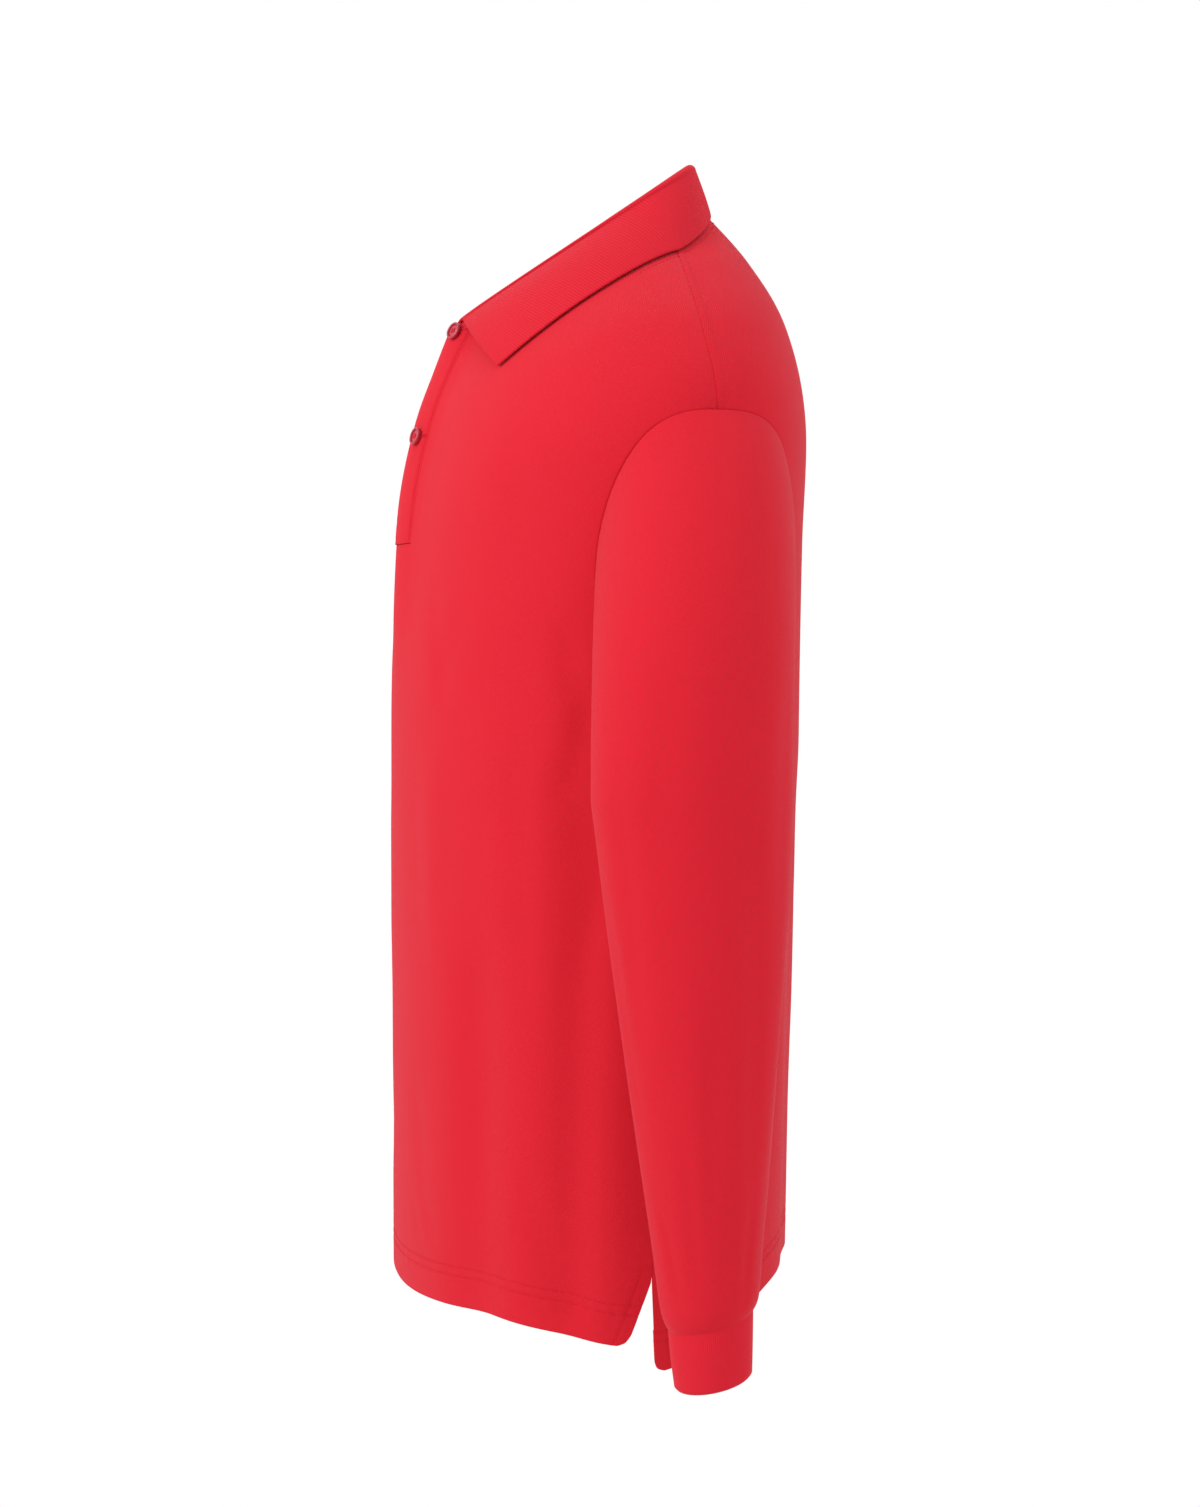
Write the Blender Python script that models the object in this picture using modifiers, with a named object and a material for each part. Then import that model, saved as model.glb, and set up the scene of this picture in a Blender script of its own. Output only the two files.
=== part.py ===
"""Long-sleeve polo shirt, filled out as if worn, with no wearer.

Metres, +Z up. +X is the wearer's left, -Y the front. The origin lies midway between the two points where
the shoulder seams meet the neckline, which is where a wearer's shoulders hold the shirt up.

The body is a stack of rings, one row of BODY_RINGS each, and a place on it has an angle round the ring,
0 at the centre front and 90 degrees at the wearer's left, and a level, the ring's row number. Every cloth
piece is a grid carried onto that form. Its wall is added on the inner side, and on the collar on the side
away from the hollow between stand and fall.
"""

from math import pi, radians
from types import SimpleNamespace

import bmesh
import bpy
import numpy as np
from mathutils import Matrix, Vector

# ---- cloth and seams ---------------------------------------------------------------------------------
BODY_WALL = 0.0012
SLEEVE_WALL = 0.0012
COLLAR_WALL = 0.0020
CUFF_WALL = 0.0020
PLACKET_WALL = 0.0014
SEAM_GAP = 0.0003
SEAM_EASE = 0.7  # share of the gap that each of two panels gives up, a little over half for the walls' lean

# ---- the body: a ring for each row, from below the hem up to the neckline -------------------------------
# Each ring passes through a front, a side and a back point. Between them it is a quarter of an ellipse
# seen from above, and its height moves from one to the next as a power of the cosine of the angle.
# The keel is how far the placket stands in front of the ellipse.
RING_COLUMNS = ("front_y", "front_z", "side_x", "side_y", "side_z", "back_y", "back_z", "power", "keel")
BODY_RINGS = (
    (-0.1430, -0.760, 0.212, -0.024, -0.760, 0.1240, -0.760, 2.0, 0.0000),
    (-0.1436, -0.600, 0.212, -0.017, -0.600, 0.1265, -0.600, 2.0, 0.0000),
    (-0.1443, -0.450, 0.213, -0.008, -0.450, 0.1290, -0.450, 2.0, 0.0000),
    (-0.1445, -0.310, 0.215, 0.003, -0.310, 0.1290, -0.310, 2.0, 0.0010),
    (-0.1400, -0.245, 0.226, 0.010, -0.220, 0.1275, -0.215, 2.0, 0.0055),
    (-0.1330, -0.180, 0.235, 0.015, -0.137, 0.1270, -0.130, 2.0, 0.0080),
    (-0.1210, -0.128, 0.202, 0.015, -0.082, 0.1175, -0.062, 1.9, 0.0090),
    (-0.1060, -0.090, 0.144, 0.020, -0.038, 0.0965, -0.014, 1.6, 0.0105),
    (-0.0910, -0.062, 0.076, 0.029, 0.000, 0.0695, 0.025, 1.4, 0.0150),
)
KEEL_X = -0.008  # the keel's ridge, a little to the wearer's right
KEEL_WIDTH = 0.025
UNDERARM_LEVEL = 3.0
SHOULDER_TIP_LEVEL = 5.0
NECK_LEVEL = 8.0

# ---- hem and side vents --------------------------------------------------------------------------------
HEM_FRONT_Z = -0.7235  # at the centre front
HEM_FRONT_RISE_Z = -0.7170  # between the centre front and the vents
HEM_FRONT_VENT_Z = -0.7270
HEM_BACK_Z = -0.697  # at the centre back, where the hem rides up
HEM_BACK_VENT_Z = -0.744  # at the side vents, where the back panel hangs longer
HEM_FRONT_DIP = 8  # how quickly the front hem rises away from the centre
HEM_VENT_DIP = 8  # how quickly each hem rises away from the vents
VENT_TOP_Z = -0.686
VENT_FRONT_OPEN = 0.014  # how far the front edge has swung forwards at the hem
VENT_BACK_OPEN = 0.004

# ---- armholes ------------------------------------------------------------------------------------------
ARMHOLE_FRONT = radians(25.5)  # how far the hole reaches forwards from the side seam
ARMHOLE_BACK = radians(35)
ARMHOLE_FULLNESS = 0.68  # below 1 the hole's ends are broader than an ellipse's

# ---- the left sleeve below the armhole: a row for each ring ----------------------------------------------
SLEEVE_COLUMNS = ("centre_x", "centre_y", "centre_z", "half_width", "half_depth", "tilt")
SLEEVE_RINGS = (
    (0.2805, -0.0150, -0.380, 0.0590, 0.0615, 0.00),
    (0.2845, -0.0125, -0.456, 0.0545, 0.0550, 0.00),
    (0.2880, -0.0100, -0.560, 0.0450, 0.0440, 0.00),
    (0.2900, -0.0080, -0.640, 0.0360, 0.0345, 0.04),
    (0.2905, -0.0065, -0.680, 0.0325, 0.0300, 0.18),
    (0.2905, -0.0060, -0.692, 0.0285, 0.0258, 0.27),
)
SLEEVE_LEAVE = (0.70, -0.72)  # x and z of the direction in which the cloth leaves the armhole
LEAVE_FORWARD = 0.25  # how far that direction leans forwards at the front, and back behind
LEAVE_BACKWARD = 0.00
HEAD_REACH = (0.010, 0.055)  # length of that lead at the underarm and at the shoulder tip
HEAD_DROP = (0.025, 0.130)  # length of the lead into the first ring, likewise
CUFF_RINGS = (
    (0.2905, -0.0060, -0.6925, 0.0285, 0.0254, 0.27),
    (0.2905, -0.0060, -0.7300, 0.0275, 0.0250, 0.13),
)

# ---- the large folds in the body: a row for each, straight up and down ------------------------------------
FOLD_COLUMNS = ("angle", "top_z", "bottom_z", "half_width", "depth")
FOLD_RING_RADIUS = 0.17  # turns an angle into a distance along the cloth
FOLD_FADE_IN = 0.12  # height over which a fold deepens below its top
FOLD_FADE_OUT = 0.05
FOLDS = (
    (radians(38), -0.42, -0.73, 0.024, 0.0050),
    (radians(66), -0.30, -0.70, 0.022, 0.0060),
    (radians(-34), -0.40, -0.73, 0.026, 0.0045),
    (radians(-63), -0.32, -0.70, 0.022, 0.0055),
    (radians(150), -0.34, -0.70, 0.030, 0.0050),
    (radians(-146), -0.36, -0.70, 0.030, 0.0055),
)

# ---- placket and buttons ----------------------------------------------------------------------------------
PLACKET_HALF_WIDTH = 0.0175
PLACKET_END_TURN = radians(120)  # the armhole's row at which the placket ends
PLACKET_LEVEL_HEIGHT = 0.065  # height of one level of the body at the placket's end
TOP_PLACKET_PROUD = 0.0008
UNDER_PLACKET_PROUD = TOP_PLACKET_PROUD - PLACKET_WALL - SEAM_GAP
BUTTON_RADIUS = 0.00625
BUTTON_THICK = 0.0030
BUTTON_RIM = 0.0016
BUTTON_RECESS = 0.0008
BUTTON_STEPS = 20
BUTTON_X = 0.004  # from the centre front to the wearer's left
BUTTON_HEIGHTS = (("button_upper", -0.0645), ("button_lower", -0.1375))

# ---- collar: a row for each section, from the centre back to the front end ------------------------------------
# The seam angle is where the section starts on the neckline, and the edge angle and level say where its
# outer edge lies on the body. Bulge is how far the fall stands off the straight line between.
COLLAR_COLUMNS = ("seam_angle", "edge_angle", "edge_level", "bulge", "fold_radius")
COLLAR_SECTIONS = (
    (radians(180), radians(180), 7.98, -0.0010, 0.0026),
    (radians(135), radians(137), 7.78, 0.0015, 0.0026),
    (radians(92), radians(97), 7.47, 0.0035, 0.0026),
    (radians(48), radians(62), 6.95, 0.0055, 0.0026),
    (radians(13.5), radians(35), 6.28, 0.0050, 0.0013),
)
FOLD_BACK = (0.0615, 0.0530)  # y and z of the fold line at the centre back
FOLD_FRONT = (-0.0985, -0.0560)
FOLD_SIDE_X = 0.069
FOLD_SIDE_Y = 0.015
COLLAR_LIFT = 0.0030  # how far the outer edge lies above the body
COLLAR_SEAM_GAP = 2 * SEAM_GAP  # the collar's wall leans over the neckline's edge
SEAM_LOOK_BACK = 0.05  # levels below the neckline that give the cloth's slope there

# ---- fineness of the grids ------------------------------------------------------------------------------------
VENT_ROWS = 2
SIDE_ROWS = 6
ARMHOLE_ROWS = 12
SHOULDER_ROWS = 6
FRONT_COLUMNS = 26
BACK_COLUMNS = 20
SLEEVE_HEAD_ROWS = 6
SLEEVE_ROWS = 8
CUFF_ROWS = 2
COLLAR_HALF_COLUMNS = 11
PLACKET_HALF_COLUMNS = 2

COLOURS = {
    "pique": (0.723, 0.021, 0.036),
    "rib": (0.700, 0.019, 0.036),
    "button": (0.560, 0.040, 0.070),
}


# ---- curves through table rows ------------------------------------------------------------------------------------
def through_rows(rows, level):
    """Smooth curve through the rows of a table, at a level or an array of levels counted in rows."""
    table = np.asarray(rows, dtype=float)
    last = len(table) - 1
    level = np.clip(np.asarray(level, dtype=float), 0.0, last)
    low = np.minimum(level.astype(int), last - 1)
    t = (level - low)[..., None]
    ahead = table[np.minimum(low + 2, last)]
    here, there = table[low], table[low + 1]
    behind = table[np.maximum(low - 1, 0)]
    start = (there - behind) / 2
    end = (ahead - here) / 2
    return (
        here * (1 - t) ** 2 * (1 + 2 * t)
        + start * t * (1 - t) ** 2
        + there * t**2 * (3 - 2 * t)
        - end * t**2 * (1 - t)
    )


def named(columns, row):
    """Values of a table row, or of many rows, by the names of their columns."""
    return SimpleNamespace(**dict(zip(columns, np.moveaxis(np.asarray(row, dtype=float), -1, 0))))


def smooth_step(t):
    """Ease from 0 to 1 as t goes from 0 to 1."""
    t = np.clip(t, 0.0, 1.0)
    return t * t * (3 - 2 * t)


# ---- the body's form ----------------------------------------------------------------------------------------------
def ring_point(angle, level):
    """Point of the body's form before folds, for arrays of angles and levels."""
    ring = named(RING_COLUMNS, through_rows(BODY_RINGS, level))
    turn = np.cos(angle)
    ahead = turn >= 0
    reach = np.abs(turn)
    x = ring.side_x * np.sin(angle)
    keel = np.where(ahead, ring.keel, 0.0) * np.exp(-(((x - KEEL_X) / KEEL_WIDTH) ** 2))
    end_y = np.where(ahead, ring.front_y, ring.back_y)
    end_z = np.where(ahead, ring.front_z, ring.back_z)
    y = ring.side_y + (end_y - ring.side_y) * reach - keel
    z = ring.side_z + (end_z - ring.side_z) * reach**ring.power
    return np.stack((x, y, z), axis=-1)


def fold_depth(angle, point):
    """How far the folds pull the cloth in at a place."""
    depth = np.zeros(np.shape(angle))
    height = point[..., 2]
    for row in FOLDS:
        fold = named(FOLD_COLUMNS, row)
        turn = np.mod(angle - fold.angle + pi, 2 * pi) - pi
        away = turn * FOLD_RING_RADIUS / fold.half_width
        fade_in = smooth_step((fold.top_z - height) / FOLD_FADE_IN)
        fade_out = smooth_step((height - fold.bottom_z) / FOLD_FADE_OUT + 1)
        depth = depth + fold.depth * np.exp(-(away**2)) * fade_in * fade_out
    return depth


def outward(angle, level):
    """Outward unit normal of the form."""
    step = 1e-4
    along = ring_point(angle + step, level) - ring_point(angle - step, level)
    top = np.minimum(level + step, NECK_LEVEL)
    up = ring_point(angle, top) - ring_point(angle, top - 2 * step)
    normal = np.cross(along, up)
    return normal / np.linalg.norm(normal, axis=-1, keepdims=True)


def body_point(angle, level, proud=0.0):
    """Point of the cloth's outer face, moved out by proud."""
    angle, level = np.broadcast_arrays(np.asarray(angle, dtype=float), np.asarray(level, dtype=float))
    point = ring_point(angle, level)
    shift = proud - fold_depth(angle, point)
    return point + outward(angle, level) * shift[..., None]


def level_at(height):
    """Level of a height below the underarm."""
    levels = np.linspace(0.0, UNDERARM_LEVEL, 301)
    heights = named(RING_COLUMNS, through_rows(BODY_RINGS, levels)).side_z
    return np.interp(height, heights, levels)


def hem_height(angle, front):
    """Height of the front or back panel's hem."""
    side = np.abs(np.sin(angle)) ** HEM_VENT_DIP
    if front:
        middle = np.abs(np.cos(angle)) ** HEM_FRONT_DIP
        dip = (HEM_FRONT_Z - HEM_FRONT_RISE_Z) * middle + (HEM_FRONT_VENT_Z - HEM_FRONT_RISE_Z) * side
        return HEM_FRONT_RISE_Z + dip
    return HEM_BACK_Z + (HEM_BACK_VENT_Z - HEM_BACK_Z) * side


# ---- how the panels' rows run -----------------------------------------------------------------------------------------
BODY_ROWS = VENT_ROWS + SIDE_ROWS + ARMHOLE_ROWS + SHOULDER_ROWS
ARMHOLE_START_ROW = VENT_ROWS + SIDE_ROWS
SHOULDER_START_ROW = ARMHOLE_START_ROW + ARMHOLE_ROWS


def armhole_turn(row):
    """Turn round the armhole from the underarm, 0, to the shoulder tip, pi."""
    return np.clip((row - ARMHOLE_START_ROW) / ARMHOLE_ROWS, 0.0, 1.0) * pi


def row_level(row, hem_level):
    """Level of a row of a body panel, whose first row is the hem."""
    vent_level = level_at(VENT_TOP_Z)
    middle = (UNDERARM_LEVEL + SHOULDER_TIP_LEVEL) / 2
    reach = (SHOULDER_TIP_LEVEL - UNDERARM_LEVEL) / 2
    side_share = np.clip((row - VENT_ROWS) / SIDE_ROWS, 0.0, 1.0)
    shoulder_share = np.clip((row - SHOULDER_START_ROW) / SHOULDER_ROWS, 0.0, 1.0)
    below_vent = hem_level + (vent_level - hem_level) * row / VENT_ROWS
    below_arm = vent_level + (UNDERARM_LEVEL - vent_level) * side_share
    beside_arm = middle - reach * np.cos(armhole_turn(row))
    above_arm = SHOULDER_TIP_LEVEL + (NECK_LEVEL - SHOULDER_TIP_LEVEL) * shoulder_share
    return np.select(
        (row < VENT_ROWS, row < ARMHOLE_START_ROW, row < SHOULDER_START_ROW),
        (below_vent, below_arm, beside_arm),
        above_arm,
    )


def edge_inset(row, reach, vent_open):
    """Angle by which a panel's edge stops short of the side and shoulder seam line."""
    ring = named(RING_COLUMNS, through_rows(BODY_RINGS, row_level(row, 0.0)))
    depth = ring.side_y - ring.front_y
    seam = SEAM_EASE * SEAM_GAP / depth
    vent = vent_open / depth * np.clip(1 - row / VENT_ROWS, 0.0, 1.0)
    return seam + vent + reach * np.sin(armhole_turn(row)) ** ARMHOLE_FULLNESS


def placket_half_angle(level, half_width=PLACKET_HALF_WIDTH):
    """Angle from the centre front to the placket's seam, or to a line half_width away."""
    return np.arcsin(half_width / named(RING_COLUMNS, through_rows(BODY_RINGS, level)).side_x)


def front_place(across, row):
    """Angle and level on the front panel, across from -1 to 1 with the placket's columns in the middle."""
    edge = pi / 2 - edge_inset(row, ARMHOLE_FRONT, VENT_FRONT_OPEN)
    middle_share = 2 / FRONT_COLUMNS
    hem_level = level_at(hem_height(edge, True))
    level = row_level(row, hem_level)
    inner = placket_half_angle(level)
    share = np.abs(across)
    angle = np.where(
        share <= middle_share,
        inner * share / middle_share,
        inner + (edge - inner) * (share - middle_share) / (1 - middle_share),
    )
    return np.sign(across) * angle, level


def back_place(across, row):
    """Angle and level on the back panel, across from -1 to 1."""
    edge = pi / 2 - edge_inset(row, ARMHOLE_BACK, VENT_BACK_OPEN)
    angle = pi + across * edge
    hem_level = level_at(hem_height(angle, False))
    return angle, row_level(row, hem_level)


def armhole_point(turn):
    """Point of the armhole's edge, from the underarm round the front, over the tip and down the back."""
    reach = np.where(turn <= pi, -ARMHOLE_FRONT, ARMHOLE_BACK)
    angle = pi / 2 + reach * np.abs(np.sin(turn)) ** ARMHOLE_FULLNESS
    middle = (UNDERARM_LEVEL + SHOULDER_TIP_LEVEL) / 2
    span = (SHOULDER_TIP_LEVEL - UNDERARM_LEVEL) / 2
    return body_point(angle, middle - span * np.cos(turn))


# ---- sleeves, collar ------------------------------------------------------------------------------------------------------
def tube_ring(row, turn):
    """Point of a sleeve or cuff ring, from the side next to the body round the front."""
    ring = named(SLEEVE_COLUMNS, row)
    x = ring.centre_x - ring.half_width * np.cos(turn)
    forward = -ring.half_depth * np.sin(turn)
    return np.stack((x, ring.centre_y + forward, ring.centre_z + ring.tilt * forward), axis=-1)


def sleeve_point(turn, down):
    """Point of the left sleeve, down from 0 at the armhole, 1 at the first ring and on to the last."""
    outer = (1 - np.cos(turn)) / 2
    lead = HEAD_REACH[0] + (HEAD_REACH[1] - HEAD_REACH[0]) * outer
    drop = HEAD_DROP[0] + (HEAD_DROP[1] - HEAD_DROP[0]) * outer
    aside = np.where(np.sin(turn) > 0, LEAVE_FORWARD, LEAVE_BACKWARD)
    leave = np.stack(
        (
            np.full(np.shape(turn), SLEEVE_LEAVE[0]),
            -aside * np.sin(turn),
            np.full(np.shape(turn), SLEEVE_LEAVE[1]),
        ),
        axis=-1,
    )
    start = armhole_point(turn) + leave * SEAM_GAP
    end = tube_ring(through_rows(SLEEVE_RINGS, np.zeros(np.shape(turn))), turn)
    handle_a = start + leave * lead[..., None]
    handle_b = end + np.array((0.0, 0.0, 1.0)) * drop[..., None]
    t = np.clip(down, 0.0, 1.0)[..., None]
    head = (
        start * (1 - t) ** 3
        + handle_a * 3 * t * (1 - t) ** 2
        + handle_b * 3 * t**2 * (1 - t)
        + end * t**3
    )
    arm = tube_ring(through_rows(SLEEVE_RINGS, np.maximum(down - 1, 0.0)), turn)
    return np.where((down <= 1)[..., None], head, arm)


def collar_fold(angle):
    """Point of the collar's fold line, an oval in one slanting plane."""
    turn = np.cos(angle)
    end_y = np.where(turn >= 0, FOLD_FRONT[0], FOLD_BACK[0])
    y = FOLD_SIDE_Y + (end_y - FOLD_SIDE_Y) * np.abs(turn)
    slope = (FOLD_BACK[1] - FOLD_FRONT[1]) / (FOLD_BACK[0] - FOLD_FRONT[0])
    return np.stack((FOLD_SIDE_X * np.sin(angle), y, FOLD_BACK[1] - slope * (FOLD_BACK[0] - y)), axis=-1)


def collar_point(along, across):
    """Point of the collar's face on the hollow between stand and fall.

    along goes from -1 at the right front end to 1 at the left one. across goes from 0 at the neck seam to
    1 at the fold, round it to 2, and down to 3 at the outer edge.
    """
    section_row = np.abs(along) * (len(COLLAR_SECTIONS) - 1)
    section = named(COLLAR_COLUMNS, through_rows(COLLAR_SECTIONS, section_row))
    facing = np.where(along < 0, -1.0, 1.0)
    seam_angle, edge_angle = section.seam_angle * facing, section.edge_angle * facing
    radius = section.fold_radius[..., None]
    neck = body_point(seam_angle, NECK_LEVEL)
    rise = neck - body_point(seam_angle, NECK_LEVEL - SEAM_LOOK_BACK)
    rise = rise / np.linalg.norm(rise, axis=-1, keepdims=True)
    seam = neck + rise * COLLAR_SEAM_GAP
    fold = collar_fold(seam_angle)
    edge = body_point(edge_angle, section.edge_level, COLLAR_LIFT)
    out_x, out_y = np.sin(seam_angle), -np.cos(seam_angle)
    out = np.stack((out_x, out_y, np.zeros(np.shape(out_x))), axis=-1)
    up = np.array((0.0, 0.0, 1.0))
    stand_top = fold - out * radius
    fall_top = fold + out * radius
    t = np.clip(across, 0.0, 1.0)[..., None]
    stand = seam + (stand_top - seam) * t
    bend = (np.clip(across, 1.0, 2.0) - 1) * pi
    round_fold = fold + (-out * np.cos(bend)[..., None] + up * np.sin(bend)[..., None]) * radius
    s = (np.clip(across, 2.0, 3.0) - 2)[..., None]
    normal = outward(edge_angle, section.edge_level)
    fall = fall_top + (edge - fall_top) * s + normal * (section.bulge[..., None] * 4 * s * (1 - s))
    return np.where((across <= 1)[..., None], stand, np.where((across <= 2)[..., None], round_fold, fall))


# ---- building -----------------------------------------------------------------------------------------------------------------
def finish(slot, roughness):
    """Material of one slot."""
    material = bpy.data.materials.new(slot)
    material.use_nodes = True
    shader = material.node_tree.nodes["Principled BSDF"]
    shader.inputs["Base Color"].default_value = (*COLOURS[slot], 1.0)
    shader.inputs["Roughness"].default_value = roughness
    shader.inputs["Metallic"].default_value = 0.0
    return material


def add_object(name, mesh, material, collection):
    """Put a mesh in the collection as a named object."""
    mesh.materials.append(material)
    piece = bpy.data.objects.new(name, mesh)
    collection.objects.link(piece)
    return piece


def cloth(name, columns, rows, place, wall, material, collection, closed=False, mirrored=False, cut=None):
    """Cloth piece: a grid carried to place(column, row), with its wall on the inner side."""
    grid = bmesh.new()
    bmesh.ops.create_grid(grid, x_segments=columns, y_segments=rows, size=0.5)
    verts = list(grid.verts)
    column = np.array([round((vert.co.x + 0.5) * columns) for vert in verts], dtype=float)
    row = np.array([round((vert.co.y + 0.5) * rows) for vert in verts], dtype=float)
    if cut is not None:
        spare = [
            face
            for face in grid.faces
            if cut((face.calc_center_median().x + 0.5) * columns, (face.calc_center_median().y + 0.5) * rows)
        ]
    for vert, point in zip(verts, place(column, row)):
        vert.co = point
    if cut is not None:
        bmesh.ops.delete(grid, geom=spare, context="FACES")
    if closed:
        bmesh.ops.remove_doubles(grid, verts=grid.verts, dist=1e-6)
    if mirrored:
        bmesh.ops.scale(grid, vec=(-1.0, 1.0, 1.0), verts=grid.verts)
        bmesh.ops.reverse_faces(grid, faces=grid.faces)
    mesh = bpy.data.meshes.new(name)
    grid.to_mesh(mesh)
    grid.free()
    mesh.shade_smooth()
    piece = add_object(name, mesh, material, collection)
    wall_modifier = piece.modifiers.new("wall", "SOLIDIFY")
    wall_modifier.thickness = wall
    wall_modifier.offset = -1.0
    return piece


def body_pieces(collection, material):
    """Front and back panels, between the hem, the armholes and the neckline."""
    placket_end_row = ARMHOLE_START_ROW + ARMHOLE_ROWS * PLACKET_END_TURN / pi

    def front(column, row):
        angle, level = front_place(column * 2 / FRONT_COLUMNS - 1, row)
        return body_point(angle, level)

    def placket_slot(column, row):
        return abs(column - FRONT_COLUMNS / 2) < 1 and row > placket_end_row

    def back(column, row):
        angle, level = back_place(column * 2 / BACK_COLUMNS - 1, row)
        return body_point(angle, level)

    cloth("front", FRONT_COLUMNS, BODY_ROWS, front, BODY_WALL, material, collection, cut=placket_slot)
    cloth("back", BACK_COLUMNS, BODY_ROWS, back, BODY_WALL, material, collection)


def placket_pieces(collection, material):
    """The two placket bands that fill the slot at the neck, left over right."""
    end_row = ARMHOLE_START_ROW + round(ARMHOLE_ROWS * PLACKET_END_TURN / pi)
    rows = BODY_ROWS - end_row
    for name, proud in (("placket_top", TOP_PLACKET_PROUD), ("placket_under", UNDER_PLACKET_PROUD)):

        def band(column, row, proud=proud):
            level = row_level(row + end_row, 0.0)
            level = level + np.where(row == 0, SEAM_GAP / PLACKET_LEVEL_HEIGHT, 0.0)
            half = placket_half_angle(level) * (1 - SEAM_GAP / PLACKET_HALF_WIDTH)
            return body_point((column / PLACKET_HALF_COLUMNS - 1) * half, level, proud)

        cloth(name, 2 * PLACKET_HALF_COLUMNS, rows, band, PLACKET_WALL, material, collection)


def sleeve_pieces(collection, pique, rib):
    """Sleeves and cuffs, the right ones mirrored from the left."""
    columns = 2 * ARMHOLE_ROWS
    rows = SLEEVE_HEAD_ROWS + SLEEVE_ROWS
    last_ring = len(SLEEVE_RINGS) - 1

    def sleeve(column, row):
        from_top = rows - row
        head = from_top / SLEEVE_HEAD_ROWS
        arm = 1 + (from_top - SLEEVE_HEAD_ROWS) / SLEEVE_ROWS * last_ring
        turn = np.mod(column, columns) * 2 * pi / columns
        return sleeve_point(turn, np.where(from_top <= SLEEVE_HEAD_ROWS, head, arm))

    def cuff(column, row):
        turn = np.mod(column, columns) * 2 * pi / columns
        return tube_ring(through_rows(CUFF_RINGS, 1 - row / CUFF_ROWS), turn)

    for side, mirrored in (("left", False), ("right", True)):
        cloth(
            f"sleeve_{side}", columns, rows, sleeve, SLEEVE_WALL, pique, collection,
            closed=True, mirrored=mirrored,
        )
        cloth(
            f"cuff_{side}", columns, CUFF_ROWS, cuff, CUFF_WALL, rib, collection,
            closed=True, mirrored=mirrored,
        )


def collar_piece(collection, material):
    """Collar in one folded piece: the stand inside, the fall outside."""
    columns = 2 * COLLAR_HALF_COLUMNS
    steps = (0.0, 0.5, 1.0, 1.33, 1.67, 2.0, 2.33, 2.67, 3.0)

    def collar(column, row):
        return collar_point(1 - column / COLLAR_HALF_COLUMNS, np.take(steps, row.astype(int)))

    cloth("collar", columns, len(steps) - 1, collar, COLLAR_WALL, material, collection)


def level_on_front(height):
    """Level at which the centre front is at a height above the underarm."""
    levels = np.linspace(UNDERARM_LEVEL, NECK_LEVEL, 501)
    heights = named(RING_COLUMNS, through_rows(BODY_RINGS, levels)).front_z
    return float(np.interp(height, heights, levels))


def button_pieces(collection, material):
    """Buttons on the top placket: a disc with a raised rim round a shallow dish."""
    inner = BUTTON_RADIUS - BUTTON_RIM
    chamfer = BUTTON_RIM / 3
    outline = (
        (0.0, BUTTON_THICK - BUTTON_RECESS),
        (inner, BUTTON_THICK - BUTTON_RECESS),
        (inner + chamfer, BUTTON_THICK),
        (BUTTON_RADIUS - chamfer, BUTTON_THICK),
        (BUTTON_RADIUS, BUTTON_THICK - 2 * chamfer),
        (BUTTON_RADIUS, chamfer),
        (BUTTON_RADIUS - chamfer, 0.0),
        (0.0, 0.0),
    )
    for name, height in BUTTON_HEIGHTS:
        level = level_on_front(height)
        disc = bmesh.new()
        corners = [disc.verts.new((radius, 0.0, rise)) for radius, rise in outline]
        for first, second in zip(corners, corners[1:]):
            disc.edges.new((first, second))
        mesh = bpy.data.meshes.new(name)
        disc.to_mesh(mesh)
        disc.free()
        piece = add_object(name, mesh, material, collection)
        turning = piece.modifiers.new("turned", "SCREW")
        turning.steps = BUTTON_STEPS
        turning.render_steps = BUTTON_STEPS
        turning.use_merge_vertices = True
        turning.merge_threshold = 0.0001
        angle = placket_half_angle(np.array(level), BUTTON_X)
        normal = Vector(outward(angle, np.array(level)))
        base = Vector(body_point(angle, level, TOP_PLACKET_PROUD + SEAM_GAP))
        piece.matrix_world = Matrix.Translation(base) @ normal.to_track_quat("Z", "Y").to_matrix().to_4x4()


def main():
    """Clear the scene and build every piece of the shirt."""
    for leftover in list(bpy.data.objects):
        bpy.data.objects.remove(leftover)
    collection = bpy.data.collections.new("long_sleeve_polo_shirt")
    bpy.context.scene.collection.children.link(collection)
    pique = finish("pique", 0.85)
    rib = finish("rib", 0.80)
    button = finish("button", 0.35)
    body_pieces(collection, pique)
    placket_pieces(collection, pique)
    sleeve_pieces(collection, pique, rib)
    collar_piece(collection, rib)
    button_pieces(collection, button)


main()
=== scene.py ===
"""Looks of the long-sleeve polo shirt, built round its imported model.

Metres, +Z up, +X the wearer's left, -Y the front, as in the model. The body is a stack of rings: a place
on it has an angle round the ring, 0 at the centre front and 90 degrees at the wearer's left, and a level,
the ring's row number. Every cloth piece is a fine grid on that form, with two faces a wall apart that are
rolled together at the open edges.
"""

import logging
from dataclasses import dataclass
from enum import Enum
from math import cos, pi, radians, sin, tan
from types import SimpleNamespace
from typing import Sequence

import bmesh
import bpy
import numpy as np
from mathutils import Matrix, Vector


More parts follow.
